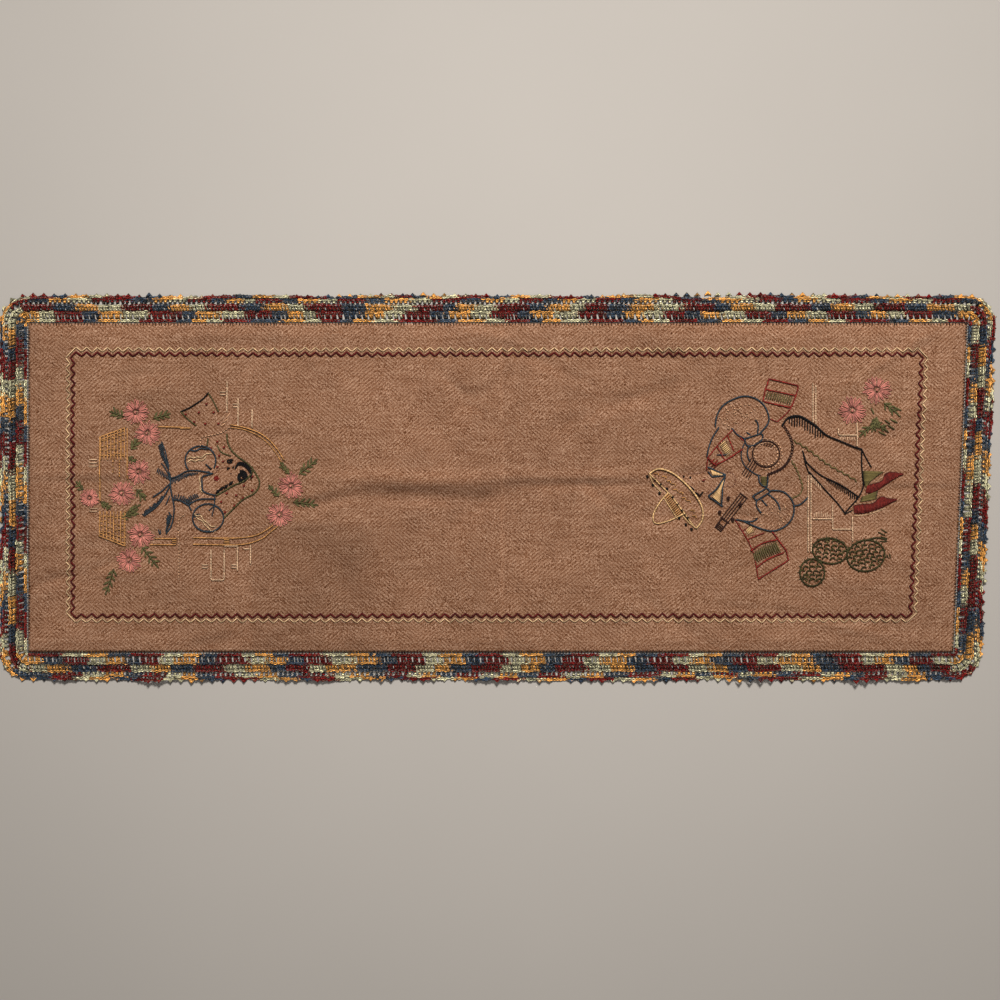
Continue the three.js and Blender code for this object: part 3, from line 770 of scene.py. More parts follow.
class Needlework:
    """The threads of one embroidered piece, drawn in mm from the middle of its motif."""

    def __init__(self, middle=(0, 0), *, seed):
        self.middle = np.array(middle, float)
        self.threads = []
        self.chance = np.random.default_rng(seed)

    def thread(self, spots, lifts, radii):
        """A thread through spots, its middle lifts mm above the cloth."""
        points = np.column_stack([np.array(spots, float) + self.middle, lifts])
        self.threads.append((points, np.broadcast_to(radii, len(points)).astype(float)))

    def stitch(self, start, end, width, lift=0.0):
        """A straight stitch that comes up at one end and goes down at the other."""
        a = np.array(start, float)
        b = np.array(end, float)
        radius = width / 2
        spots = [a + (b - a) * share for share in (0, 0.14, 0.5, 0.86, 1)]
        lifts = [BURIED, 0.62 * radius + lift, radius + lift, 0.62 * radius + lift, BURIED]
        self.thread(spots, lifts, [radius * k for k in (0.7, 1, 1.05, 1, 0.7)])

    def outline(self, points, width, stitch=3.4, slant=0.16):
        """Stem stitch: short stitches that overlap and lean a little across the line."""
        count = max(1, round(line_length(points) / stitch))
        spots = spots_along(points, np.linspace(0, 1, count + 1))
        for a, b in zip(spots, spots[1:]):
            ahead = (b - a) * STEM_OVERLAP
            across = np.array([a[1] - b[1], b[0] - a[0]]) / max(np.linalg.norm(b - a), 1e-6) * width * slant
            self.stitch(a - ahead - across, b + ahead + across, width)

    def lines(self, width, *lines, **manner):
        """Stem stitch along each of these straight-sided lines."""
        for line in lines:
            self.outline(line, width, **manner)

    def curves(self, width, *lines, **manner):
        """Stem stitch along a smooth curve through each of these lines."""
        for line in lines:
            self.outline(flowing(line), width, **manner)

    def running(self, points, width, stitch=3.2, gap=1.0):
        """Short stitches with gaps between them."""
        count = max(1, round(line_length(points) / (stitch + gap)))
        share = stitch / (stitch + gap)
        for i in range(count):
            a, b = spots_along(points, [(i + (1 - share) / 2) / count, (i + (1 + share) / 2) / count])
            self.stitch(a, b, width)

    def satin(self, one_side, other_side, width, spacing=1.15, lift=0.1):
        """Threads laid close together from one line to another."""
        count = max(1, round(max(line_length(one_side), line_length(other_side)) / spacing))
        shares = (np.arange(count) + 0.5) / count
        for a, b in zip(spots_along(one_side, shares), spots_along(other_side, shares)):
            self.stitch(a, b, width, lift=lift + self.chance.uniform(0, 0.15))

    def teeth(self, points, lengths, width, spacing=1.5, lean=0.0):
        """Stitches of uneven length that stand on a line, to its left; lengths are given from end to end."""
        count = max(2, round(line_length(points) / spacing))
        shares = (np.arange(count) + 0.5) / count
        spots = spots_along(points, shares)
        nexts = spots_along(points, np.minimum(shares + 0.02, 1.0))
        backs = spots_along(points, np.maximum(shares - 0.02, 0.0))
        known = np.interp(shares, np.linspace(0, 1, len(lengths)), lengths)
        for spot, ahead, back, length in zip(spots, nexts, backs, known):
            way = (ahead - back) / max(np.linalg.norm(ahead - back), 1e-6)
            across = np.array([-way[1], way[0]]) + way * lean
            reach = length * self.chance.uniform(0.75, 1.15)
            self.stitch(spot, spot + across * reach, width)

    def knot(self, x, y, radius):
        """A French knot: a small coil with a dimple in it."""
        spots = ring(x, y, radius * 0.55, radius * 0.55, 0, 330, 6)
        self.thread(spots, np.linspace(radius * 0.4, radius * 0.8, len(spots)), radius * 0.5)

    def loop(self, x, y, angle, inner, outer, width, thread):
        """A petal: a loop held down by a small stitch over its tip."""
        way = np.array([math.cos(angle), math.sin(angle)])
        across = np.array([-way[1], way[0]])
        middle = np.array([x, y], float)
        length = outer - inner
        side = [(0, 0.04, 0.05), (0.35, 0.34, 0.45), (0.72, 0.5, 0.5), (0.93, 0.3, 0.5)]
        shape = side + [(1, 0, 0.45)] + [(share, -half, lift) for share, half, lift in reversed(side)]
        spots = [middle + way * (inner + length * share) + across * width * half for share, half, _ in shape]
        lifts = [lift for _, _, lift in shape]
        self.thread(spots, lifts, thread / 2)
        self.stitch(middle + way * (outer - 0.5), middle + way * (outer + 0.7), thread * 0.9, lift=0.25)

    def chain(self, points, width, thread, link_length=3.2):
        """Chain stitch: a row of loops, each coming out of the last."""
        count = max(1, round(line_length(points) / link_length))
        spots = spots_along(points, np.linspace(0, 1, count + 1))
        for a, b in zip(spots, spots[1:]):
            way = b - a
            length = np.linalg.norm(way)
            self.loop(a[0], a[1], math.atan2(way[1], way[0]), 0, length * 1.05, width, thread)

    def scatter(self, x, y, across, down, count, width, length=2.0):
        """Seed stitches: tiny stitches strewn over an oval."""
        for _ in range(count):
            angle = self.chance.uniform(0, 2 * math.pi)
            far = math.sqrt(self.chance.uniform(0, 1))
            spot = np.array([x + across * far * math.cos(angle), y + down * far * math.sin(angle)])
            turn = self.chance.uniform(0, math.pi)
            way = np.array([math.cos(turn), math.sin(turn)]) * length / 2
            self.stitch(spot - way, spot + way, width)

    def finish(self, name, finish, slot, *nodes):
        """Lays the threads on the cloth as one piece, no two of them quite the same tone."""
        threads = []
        for points, radii in self.threads:
            laid = points.copy()
            laid[:, 2] += face(points[:, 0], points[:, 1])
            threads.append((laid, radii))
        tints = self.chance.uniform(1 - TINT_SPREAD, 1 + TINT_SPREAD, len(threads))
        add_piece(name, tube_mesh(name, threads, THREAD_SIDES, tints), finish, slot, *nodes)


def zigzag_corners():
    """The corners of the stitched frame, anticlockwise from the front left."""
    left = LEFT + FRAME_INSET_END
    back = BACK - FRAME_INSET_BACK
    front = FRONT + FRAME_INSET_FRONT
    lean = END_SLANT / (BACK - FRONT)
    right = [RIGHT - FRAME_INSET_END - (BACK - y) * lean for y in (front, back)]
    return [(left, front), (right[0], front), (right[1], back), (left, back)]


def make_zigzag(name, outward, width, finish, slot, node):
    """One line of the frame: a straight stitch from each inner point to the next outer point."""
    work = Needlework(seed=21)
    corners = [np.array(c, float) for c in zigzag_corners()]
    points = []
    for a, b in zip(corners, corners[1:] + corners[:1]):
        length = np.linalg.norm(b - a)
        way = (b - a) / length
        out_way = np.array([way[1], -way[0]])
        run = length - 2 * ZIGZAG_CORNER_CUT
        zigs = round(run / ZIGZAG_PITCH)
        for half in range(zigs * 2 + 1):
            along = ZIGZAG_CORNER_CUT + half / 2 / zigs * run + work.chance.normal() * 0.25
            swing = ZIGZAG_SWING / 2 * (-1 if half % 2 else 1) + work.chance.normal() * 0.2
            points.append(a + way * along + out_way * (outward + swing))
    for a, b in zip(points, points[1:] + points[:1]):
        way = (b - a) / np.linalg.norm(b - a)
        work.stitch(a - way * 0.3, b + way * 0.3, width)
    work.finish(name, finish, slot, node)


def make_flower(number, middle, x, y, radius, finish):
    """A daisy of loop petals round a knot."""
    work = Needlework(middle, seed=100 + number)
    petals = 19
    turn = work.chance.uniform(0, 1)
    for i in range(petals):
        angle = (i + turn + work.chance.uniform(-0.22, 0.22)) * 2 * math.pi / petals
        way = np.array([math.cos(angle), math.sin(angle)])
        outer = radius * work.chance.uniform(0.92, 1.22) - 0.4
        inner = radius * work.chance.uniform(0.2, 0.27)
        work.loop(x, y, angle, inner, outer, radius * 0.18, 1.0)
        if i % 2:
            root = np.array([x, y]) + way * radius * 0.26
            work.stitch(root, root + way * (outer - radius * 0.35), 0.9, lift=-0.1)
    work.knot(x, y, radius * 0.13)
    work.knot(x, y, radius * 0.08)
    work.finish(f"pink_flower_{number}_petals", finish, "pink_thread", f"pink_flower_{number}")


def leaf_spray(work, start, end, pairs, size=6.2):
    """A stem with pairs of loop leaves along it and one at the tip."""
    a = np.array(start, float)
    b = np.array(end, float)
    angle = math.atan2(*(b - a)[::-1])
    work.outline([a, b], PLAIN, stitch=2.6)
    rows = pairs + 1
    for i in range(rows):
        x, y = a + (b - a) * (i + 0.1) / rows
        for side in (-1, 1):
            turn = angle + side * work.chance.uniform(0.45, 0.9)
            reach = size * work.chance.uniform(0.85, 1.2)
            work.loop(x, y, turn, 0.2, reach, 1.3, 0.95)
            work.stitch((x, y), (x + math.cos(turn) * reach, y + math.sin(turn) * reach), 0.8, lift=0.1)
    work.loop(b[0] - 1.5 * math.cos(angle), b[1] - 1.5 * math.sin(angle), angle, 0, size * 0.8, 1.5, 0.95)


def make_sprig(number, middle, start, end, pairs, finish):
    """One of the numbered sprigs of leaves."""
    work = Needlework(middle, seed=200 + number)
    leaf_spray(work, start, end, pairs)
    work.finish(f"leaf_sprig_{number}_loops", finish, "leaf_thread", f"leaf_sprig_{number}")


def make_flowers_and_leaves(pink, leaf):
    """The flowers and sprigs round the left figure, and those beyond the guitar player."""
    left_flowers = [(-55, 77, 11.8), (-43, 55, 11.8), (-52, 14, 12.3), (-70, -9, 12.3), (-104, -14, 9),
        (-50, -53, 12.3), (-62, -80, 12.3), (110, -1, 12.3), (98, -32, 12.3)]
    right_flowers = [(108, 101, 13), (82, 79, 13.5)]
    for i, flower in enumerate(left_flowers):
        make_flower(i + 1, LEFT_MOTIF, *flower, pink)
    for i, flower in enumerate(right_flowers):
        make_flower(i + 10, RIGHT_MOTIF, *flower, pink)
    left_sprigs = [((-68, 73), (-79, 77), 2), ((-36, 71), (-22, 75), 2), ((-60, 38), (-55, 46), 2),
        ((-54, -5), (-47, -13), 2), ((-69, -35), (-56, -28), 3), ((-48, -66), (-33, -85), 3),
        ((-78, -90), (-86, -113), 3), ((119, 12), (135, 25), 3), ((113, -18), (135, -21), 3)]
    for i, sprig in enumerate(left_sprigs):
        make_sprig(i + 1, LEFT_MOTIF, *sprig, leaf)
    make_sprig(10, RIGHT_MOTIF, (116, 87), (127, 78), 2, leaf)
    make_sprig(11, RIGHT_MOTIF, (108, 72), (104, 60), 3, leaf)
    spare = Needlework(LEFT_MOTIF, seed=230)
    for start, end, pairs in (((-111, -5), (-117, 2), 1), ((-92, -18), (-84, -24), 2),
            ((-62, 30), (-57, 25), 1), ((108, 12), (100, 22), 2), ((97, -12), (88, -2), 2),
            ((-62, -28), (-52, -22), 1)):
        leaf_spray(spare, start, end, pairs, size=4.4)
    spare.finish("spare_leaves", leaf, "leaf_thread")
    stems = Needlework(RIGHT_MOTIF, seed=231)
    for a, b in (((128, 77), (133, 72)), ((124, 84), (134, 79)), ((116, 69), (122, 65)),
            ((119, 64), (127, 59)), ((112, 62), (121, 56)), ((110, 57), (118, 53)), ((122, 70), (130, 66)),
            ((105, 75), (102, 82))):
        stems.stitch(a, b, PLAIN)
    leaf_spray(stems, (100, 62), (92, 54), 1, size=6)
    leaf_spray(stems, (104, 66), (115, 61), 2, size=5)
    stems.finish("ground_ticks", leaf, "leaf_thread")


def railing(work, left, right, level, slant_left, slant_right, bars, middle_rail):
    """Balcony bars between a level rail and a slanted double one."""
    slope = (slant_right - slant_left) / (right - left)
    inward = -3 if slant_left > level else 3
    ends = [(left - 1, slant_left), (right + 1, slant_right)]
    work.outline(ends, PLAIN, stitch=4.5)
    work.outline([(left, slant_left + inward), (right, slant_right + inward)], FINE)
    for i in range(bars + 1):
        x = left + (right - left) * i / bars
        top = slant_left + slope * (x - left)
        work.outline([(x, top), (x, level)], FINE if i % 2 else PLAIN, stitch=3)
        if i < bars:
            for share in (0.2, 0.4, 0.6, 0.8):
                y = top + (level - top) * share + work.chance.uniform(-1, 1)
                wide = (right - left) / bars
                work.stitch((x + 0.2 * wide, y), (x + 0.8 * wide, y), FINE)
    work.running([(left, middle_rail), (right, middle_rail)], FINE, 2.4, 0.9)


def make_balcony(gold):
    """The two ends of the balcony's railing."""
    back = Needlework(LEFT_MOTIF, seed=31)
    railing(back, -92, -67, 27, 51, 61, 7, 31)
    back.outline([(-93, 51), (-93, -17)], PLAIN)
    back.running([(-72, 27), (-72, 8)], PLAIN, 2.6, 0.8)
    back.running([(-79, 27), (-79, 12)], FINE, 2.6, 0.8)
    back.outline([(-64, 60), (-64, 6)], FINE)
    back.finish("balcony_back_gold", gold, "gold_thread", "balcony_back_rail")
    front = Needlework(LEFT_MOTIF, seed=32)
    railing(front, -93, -67, -28, -54, -65, 7, -33)
    front.running([(-66, -26), (-66, -64)], FINE, 2.6, 0.8)
    front.finish("balcony_front_gold", gold, "gold_thread", "balcony_front_rail")


def make_arch(gold):
    """The arch round the figure, and a step."""
    line = Needlework(LEFT_MOTIF, seed=33)
    line.outline([(-31, 62), (-10, 61.5), (3, 60.5)], PLAIN)
    line.outline([(-8, 60), (3, 60)], FINE)
    line.finish("arch_line_gold", gold, "gold_thread", "arch_line_back")
    back = Needlework(LEFT_MOTIF, seed=34)
    outer = flowing([(46, 64), (57, 62), (68, 59), (79, 54), (89, 46), (97, 36), (103, 26)])
    inner = flowing([(46, 61), (58, 59.5), (68, 56), (77, 51.5), (86, 44), (94, 34), (100, 24)])
    back.outline(outer, PLAIN)
    back.outline(inner, FINE)
    back.finish("arch_back_gold", gold, "gold_thread", "arch_curve_back")
    front = Needlework(LEFT_MOTIF, seed=35)
    front.curves(PLAIN, [(6, -56), (50, -56.5), (71, -54), (82, -49), (91, -43)],
        [(6, -63), (55, -63.5), (77, -58), (88, -50), (96, -44)])
    for y in (-58, -60, -61.5):
        front.stitch((38, y), (45, y - 0.5), FINE)
    front.finish("arch_front_gold", gold, "gold_thread", "arch_curve_front")
    step = Needlework(LEFT_MOTIF, seed=36)
    step.lines(PLAIN, [(-35, -57), (-12, -57)], [(-40, -63.5), (-12, -63.5)])
    for y in (-59, -61):
        step.stitch((-17, y), (-11, y), FINE)
    step.finish("step_gold", gold, "gold_thread", "step_front")


def make_window_left(white, tan):
    """Lines and bricks of the wall behind the figure."""
    work = Needlework(LEFT_MOTIF, seed=37)
    sills = [[(25, -69), (25, -101), (39, -101), (39, -69)], [(42, 110), (42, 78)], [(54, 92), (54, 62)],
        [(69, 80), (69, 61)], [(53, -66), (53, -91)], [(67, -64), (67, -84)], [(39, -65), (53, -65)]]
    for line in sills:
        work.outline(line, 1.55, stitch=3)
    for x, y in ((34, 99), (34, 96), (48, 86), (48, 83), (15, -85), (15, -88), (46, -85), (46, -88),
            (59, -68)):
        work.stitch((x, y), (x + 7, y), FINE)
    for y in (27, 23.5, 20, -25, -28):
        work.stitch((-105, y), (-95, y), FINE)
    work.finish("wall_left_white", white, "white_thread", "window_line_left")
    cord = Needlework(LEFT_MOTIF, seed=38)
    cord.running(flowing([(-3, -31), (-8, -35), (-10, -42), (-9, -60), (-9, -100)]), 1.4, 2.2, 1.2)
    cord.running(flowing([(14, 40), (14, 48), (16, 51), (26, 53), (37, 56), (46, 62)]), 1.4, 2.6, 0.8)
    for a, b in (((35, 68), (40, 74)), ((38, 66), (44, 71)), ((35, 62), (41, 66)), ((46, 77), (41, 71))):
        cord.stitch(a, b, 1.1)
    cord.finish("arm_lines_tan", tan, "white_thread")


def make_dress(navy):
    """A gathered dress with ribbons flying from its waist."""
    work = Needlework(LEFT_MOTIF, seed=41)
    waist = flowing([(-20, 14), (-18, 8), (-18, -2), (-16, -13), (-14, -24), (-15, -36), (-18, -45),
        (-23, -52)])
    work.outline(waist, PLAIN)
    work.satin([(-27, 46), (-25, 34), (-20, 20)], [(-32, 42), (-29, 30), (-20, 14)], 1.2, spacing=2.1)
    work.outline([(-20, 20), (-24, 36), (-28, 46)], FINE)
    work.satin([(-32, 19), (-25, 13), (-19, 8)], [(-34, 13), (-26, 8), (-18, 4)], 1.2, spacing=2.0)
    work.outline([(-19, 8), (-24, 18), (-28, 23)], FINE)
    work.outline([(-18, 2), (-28, -7), (-37, -13)], PLAIN)
    work.outline(flowing([(-18, 0), (-26, -14), (-34, -24), (-46, -33)]), PLAIN)
    work.teeth(flowing([(-46, -33), (-34, -24), (-24, -12)]), [2.5, 5, 4, 3], 1.3, spacing=2.0, lean=-0.5)
    work.outline([(-19, -12), (-23, -21)], FINE)
    work.teeth([(-23, -51), (-19, -43), (-16, -33)], [1.5, 5.5, 4.5], 1.3, spacing=2.0, lean=0.8)
    work.stitch((-31, -47), (-30, -53), FINE)
    work.stitch((-29, -48), (-29, -53), FINE)
    top = flowing([(-18, 7), (-11, 9), (-4, 13), (1, 15), (13, 15), (27, 12)])
    work.outline(top, PLAIN)
    work.teeth(flowing([(12, 13), (2, 13), (-5, 11), (-17, 6)]), [2, 4.5, 5, 5], 1.25, spacing=1.8, lean=0.45)
    work.outline([(27, 12), (15.5, 9), (16, -6), (21, -9), (30, -11)], PLAIN)
    low = flowing([(-15, -16), (-9, -16), (-3, -19), (2, -22)])
    work.outline(low, PLAIN)
    work.teeth(low, [5.5, 5.5, 5], 1.3, spacing=1.9, lean=0.15)
    under = flowing([(2, -21), (8, -17), (15, -15), (30, -15)])
    work.outline(under, PLAIN)
    work.teeth(flowing([(1, -20), (7, -16), (13, -13)]), [5.5, 6.5, 4.5], 1.3, spacing=1.9, lean=-0.1)
    work.outline([(29, -11), (29, -20)], FINE)
    work.outline([(4, -27), (2, -22)], PLAIN)
    work.finish("dress_navy", navy, "navy_thread", "dress")


def make_dress_sleeves(navy, cream):
    """Two puffed sleeves with wavy trimming."""
    back = Needlework(LEFT_MOTIF, seed=42)
    back.outline(ring(14, 26, 16.5, 15.5, -30, 216, 22), PLAIN)
    back.outline(flowing([(4, 37), (9, 36), (14, 39), (20, 38), (25, 39)]), PLAIN)
    back.outline([(20, 22), (25, 17)], PLAIN)
    back.stitch((17, 14), (24, 14), FINE)
    back.finish("dress_sleeve_back_navy", navy, "navy_thread", "dress_sleeve_back")
    front = Needlework(LEFT_MOTIF, seed=43)
    front.outline(ring(22, -35, 16.5, 15, 0, 360, 30), PLAIN)
    front.outline(flowing([(13, -47), (17, -49), (24, -49)]), PLAIN)
    for a, b in (((29, -22), (23, -27)), ((29, -22), (26, -33)), ((6, -33), (9, -34)),
            ((10, -31), (13, -31))):
        front.outline([a, b], FINE)
    front.finish("dress_sleeve_front_navy", navy, "navy_thread", "dress_sleeve_front")
    trim = Needlework(LEFT_MOTIF, seed=44)
    for line in ([(0, 28), (3, 30), (7, 28.5), (11, 30), (15, 29), (20, 33), (26, 33)],
            [(0, 24), (4, 27), (8, 25), (12, 27), (16, 26), (20, 30)],
            [(7, -30), (10, -33), (14, -32), (17, -37), (21, -40), (25, -44), (30, -44)],
            [(9, -34), (13, -37), (16, -38), (19, -43), (23, -46), (25, -49), (30, -49)],
            [(14, 10), (13, 5), (14.5, 1), (13.5, -4), (16, -8)]):
        trim.outline(flowing(line), FINE, stitch=2.4)
    trim.finish("sleeve_trim_cream", cream, "cream_thread")


def make_hair(black):
    """Dark hair worked in rolled curls, with a row of small curls along the neck."""
    work = Needlework(LEFT_MOTIF, seed=45)
    for x, y, across, down in ((45.6, 25, 4.2, 2.2), (43.5, 17.2, 2.1, 1.3), (48.8, 18.4, 1.0, 1.5)):
        turns = np.linspace(0, 1, 40)
        size = 1 - turns * 0.85
        angles = turns * 2 * math.pi * max(1, down / 1.4) + 0.8
        curl = np.stack([x + across * size * np.cos(angles), y + down * size * np.sin(angles)], axis=1)
        work.outline(curl, 1.5, stitch=2.2, slant=0)
    for shrink in (0, 1.15, 2.3):
        turns = np.linspace(0, 1, 30)
        angles = 1.9 - turns * 8.6
        reach = 6.6 - turns * 3.4 - shrink
        curl = np.stack([58 + reach * 0.95 * np.cos(angles), 8.6 + reach * 1.05 * np.sin(angles)], axis=1)
        work.outline(curl[reach > 0.4], 1.5, stitch=2.2, slant=0)
    sweep = np.array([(51.5, 19.5), (55, 24), (62, 22), (67.5, 15.5), (68.5, 9)], float)
    for shift in (0, 1.2, 2.4):
        work.outline(flowing(sweep + (-shift * 0.3, -shift)), 1.5, stitch=2.2, slant=0)
    for x, y in ((46.4, 1.6), (41.2, -1.8), (36.6, -4), (32.6, -7)):
        for shift in (-1.2, 0, 1.2):
            work.stitch((x + shift - 1, y - 2 + shift * 0.4), (x + shift + 0.6, y + 2 + shift * 0.4), 1.4)
    work.finish("hair_black", black, "black_thread", "hair")


def make_head(skin_line, red):
    """A plain face turned to one side: a soft outline, an eye and a mouth, with a flower at the chin."""
    face_line = Needlework(LEFT_MOTIF, seed=46)
    face_line.running(flowing([(29, 12), (32, 16), (37, 18), (42, 19)]), 0.7, 2.2, 0.7)
    face_line.stitch((45, 12), (47.5, 12.5), 0.8)
    face_line.stitch((40, 5), (42, 4), 0.8)
    face_line.finish("face_lines", skin_line, "brown_thread")
    rose = Needlework(LEFT_MOTIF, seed=47)
    for turn in range(5):
        angle = turn * 2 * math.pi / 5
        rose.loop(31, 7, angle, 0.3, 2.6, 1.6, 0.9)
    rose.knot(31, 7, 1.2)
    dots = ((32, 46), (39, 40), (25, 39), (34, 31), (38, 25), (32, 19), (69, 9), (60, -1), (69, -6),
        (52, -11), (42, -9), (59, -14), (36, -18), (50, -22), (40, -29), (20, 86), (12, 77), (-2, 75),
        (28, 77), (19, 65), (7, 67), (33, 65))
    for x, y in dots:
        rose.knot(x, y, 1.15)
        rose.stitch((x - 1.5, y - 1.2), (x + 1.4, y + 1.2), 0.9)
        rose.stitch((x - 1.2, y + 0.9), (x + 1.2, y - 0.6), 0.9)
    rose.finish("shawl_and_fan_dots", red, "red_thread")


def make_shawl(green):
    """The shawl over the head and shoulders."""
    work = Needlework(LEFT_MOTIF, seed=48)
    edge = flowing([(42, 54), (43, 45), (47, 37), (54, 30), (67, 20), (76, 6), (76, -2), (71, -9), (63, -13)])
    work.outline(edge, PLAIN, slant=0.05)
    work.outline([(63, -13), (57, -17), (50, -24), (39, -35)], PLAIN, slant=0.05)
    work.outline(flowing([(31, -11), (40, -6), (50, 0), (58, 3), (65, 8), (69, 14), (69, 19)]), PLAIN)
    work.outline(flowing([(32, 42), (35, 36), (40, 33), (46, 31)]), FINE)
    work.outline([(22, 49), (21, 42)], PLAIN)
    work.finish("shawl_green", green, "green_thread", "shawl_edge")


def make_fan(green, black):
    """An open fan with a dark top edge."""
    work = Needlework(LEFT_MOTIF, seed=49)
    work.lines(FINE, [(22, 98), (28, 88), (33, 78)], [(-7, 78), (-2, 72), (4, 67), (9, 63)])
    work.finish("fan_sides_green", green, "green_thread", "fan_edge")
    top = Needlework(LEFT_MOTIF, seed=50)
    top.outline(flowing([(-7, 78), (2, 82), (10, 87), (17, 92), (22, 98)]), PLAIN, slant=0)
    top.finish("fan_top_black", black, "black_thread")


def make_hat(pale_gold, black, gold):
    """A wide-brimmed hat with a banded crown, dotted along the brim."""
    work = Needlework(RIGHT_MOTIF, seed=51)
    brim = flowing([(-134, 12), (-128, 16), (-121, 17), (-108, 12), (-94, 0), (-82, -15), (-77, -27),
        (-78, -38), (-84, -46)])
    work.outline(brim, 2.3, slant=0.05)
    work.outline([(-134, 12), (-110, -12), (-85, -46)], 1.7, slant=0.05)
    work.lines(FINE, [(-134, 12), (-131, 3), (-121, -8)], [(-98, -33), (-92, -40), (-84, -46)], slant=0.05)
    work.outline(flowing([(-114, -8), (-121, -16), (-128, -27), (-130, -35), (-127, -41), (-113, -38),
        (-98, -31)]), 1.7, slant=0.05)
    work.outline([(-119, -13), (-104, -36)], FINE)
    work.finish("hat_pale_gold", pale_gold, "gold_thread", "hat")
    work = Needlework(RIGHT_MOTIF, seed=59)
    work.satin([(-113, -7), (-98, -31)], [(-119, -13), (-104, -36)], FINE, spacing=2.2)
    for x, y in ((-126, 12), (-118, 9), (-113, 4), (-108, 1), (-106, -5), (-100, -8), (-97, -14), (-92, -17),
            (-88, -27), (-86, -33)):
        work.stitch((x - 3, y), (x + 1.5, y + 0.5), FINE)
        work.stitch((x + 1.5, y + 0.5), (x + 2, y - 2.5), FINE)
    work.finish("hat_band_gold", gold, "gold_thread")
    dots = Needlework(RIGHT_MOTIF, seed=52)
    for x, y in ((-136, 9), (-130, 0), (-123, -9), (-128, 6), (-122, 1), (-115, -4), (-109, -13), (-104, -20),
            (-99, -27), (-93, -35), (-102, -35), (-95, -42), (-89, -47), (-96, -31)):
        dots.knot(x, y, 1.5)
        dots.stitch((x - 1.1, y + 1.1), (x + 1.1, y - 1.1), 1.5)
    for x, y in ((-97, 9), (-90, 8)):
        dots.knot(x, y, 1.2)
    for a, b in (((-90, -2), (-87, -5)), ((-85, -8), (-82, -10)), ((-83, -9), (-80, -12)),
            ((-80, -11), (-77, -8))):
        dots.outline([a, b], PLAIN)
    dots.finish("hat_dots_black", black, "black_thread")


def make_guitarist_face(skin_line, red):
    """A plain head in profile under the hat."""
    work = Needlework(RIGHT_MOTIF, seed=53)
    work.running(flowing([(-93, 12), (-84, 12), (-76, 14), (-71, 18)]), 0.7, 2.4, 0.6)
    work.running(flowing([(-67, 0), (-70, -6), (-74, -10)]), 0.7, 2.2, 0.7)
    work.running(flowing([(-52, 14), (-45, 12), (-42, 4), (-46, -2), (-52, -1)]), 0.7, 2.2, 0.7)
    work.finish("profile_lines", skin_line, "brown_thread")
    mouth = Needlework(RIGHT_MOTIF, seed=54)
    mouth.knot(-76, 5, 1.3)
    mouth.stitch((-78, 4), (-74, 6), 1.1)
    mouth.finish("mouth_red", red, "red_thread")


def make_neck_scarf(navy, gold):
    """A knotted scarf with its filling."""
    work = Needlework(RIGHT_MOTIF, seed=55)
    work.lines(PLAIN, [(-71, 19), (-62, 14.5), (-52, 10.5), (-67, 8.5), (-71, 14)],
        [(-53, 10), (-58, 2), (-64, -6), (-72, -12), (-64, -17), (-56, -23)],
        [(-53, 10), (-56, -2), (-57, -22)])
    work.finish("neck_scarf_navy", navy, "navy_thread", "neck_scarf")
    fill = Needlework(RIGHT_MOTIF, seed=56)
    fill.satin([(-69, 17), (-56, 11.5)], [(-66, 10), (-56, 10)], FINE, spacing=1.2)
    fill.satin([(-55, 6), (-60, -3), (-68, -12)], [(-55, 2), (-58, -8), (-58, -20)], FINE, spacing=1.3)
    fill.finish("neck_scarf_fill", gold, "gold_thread")


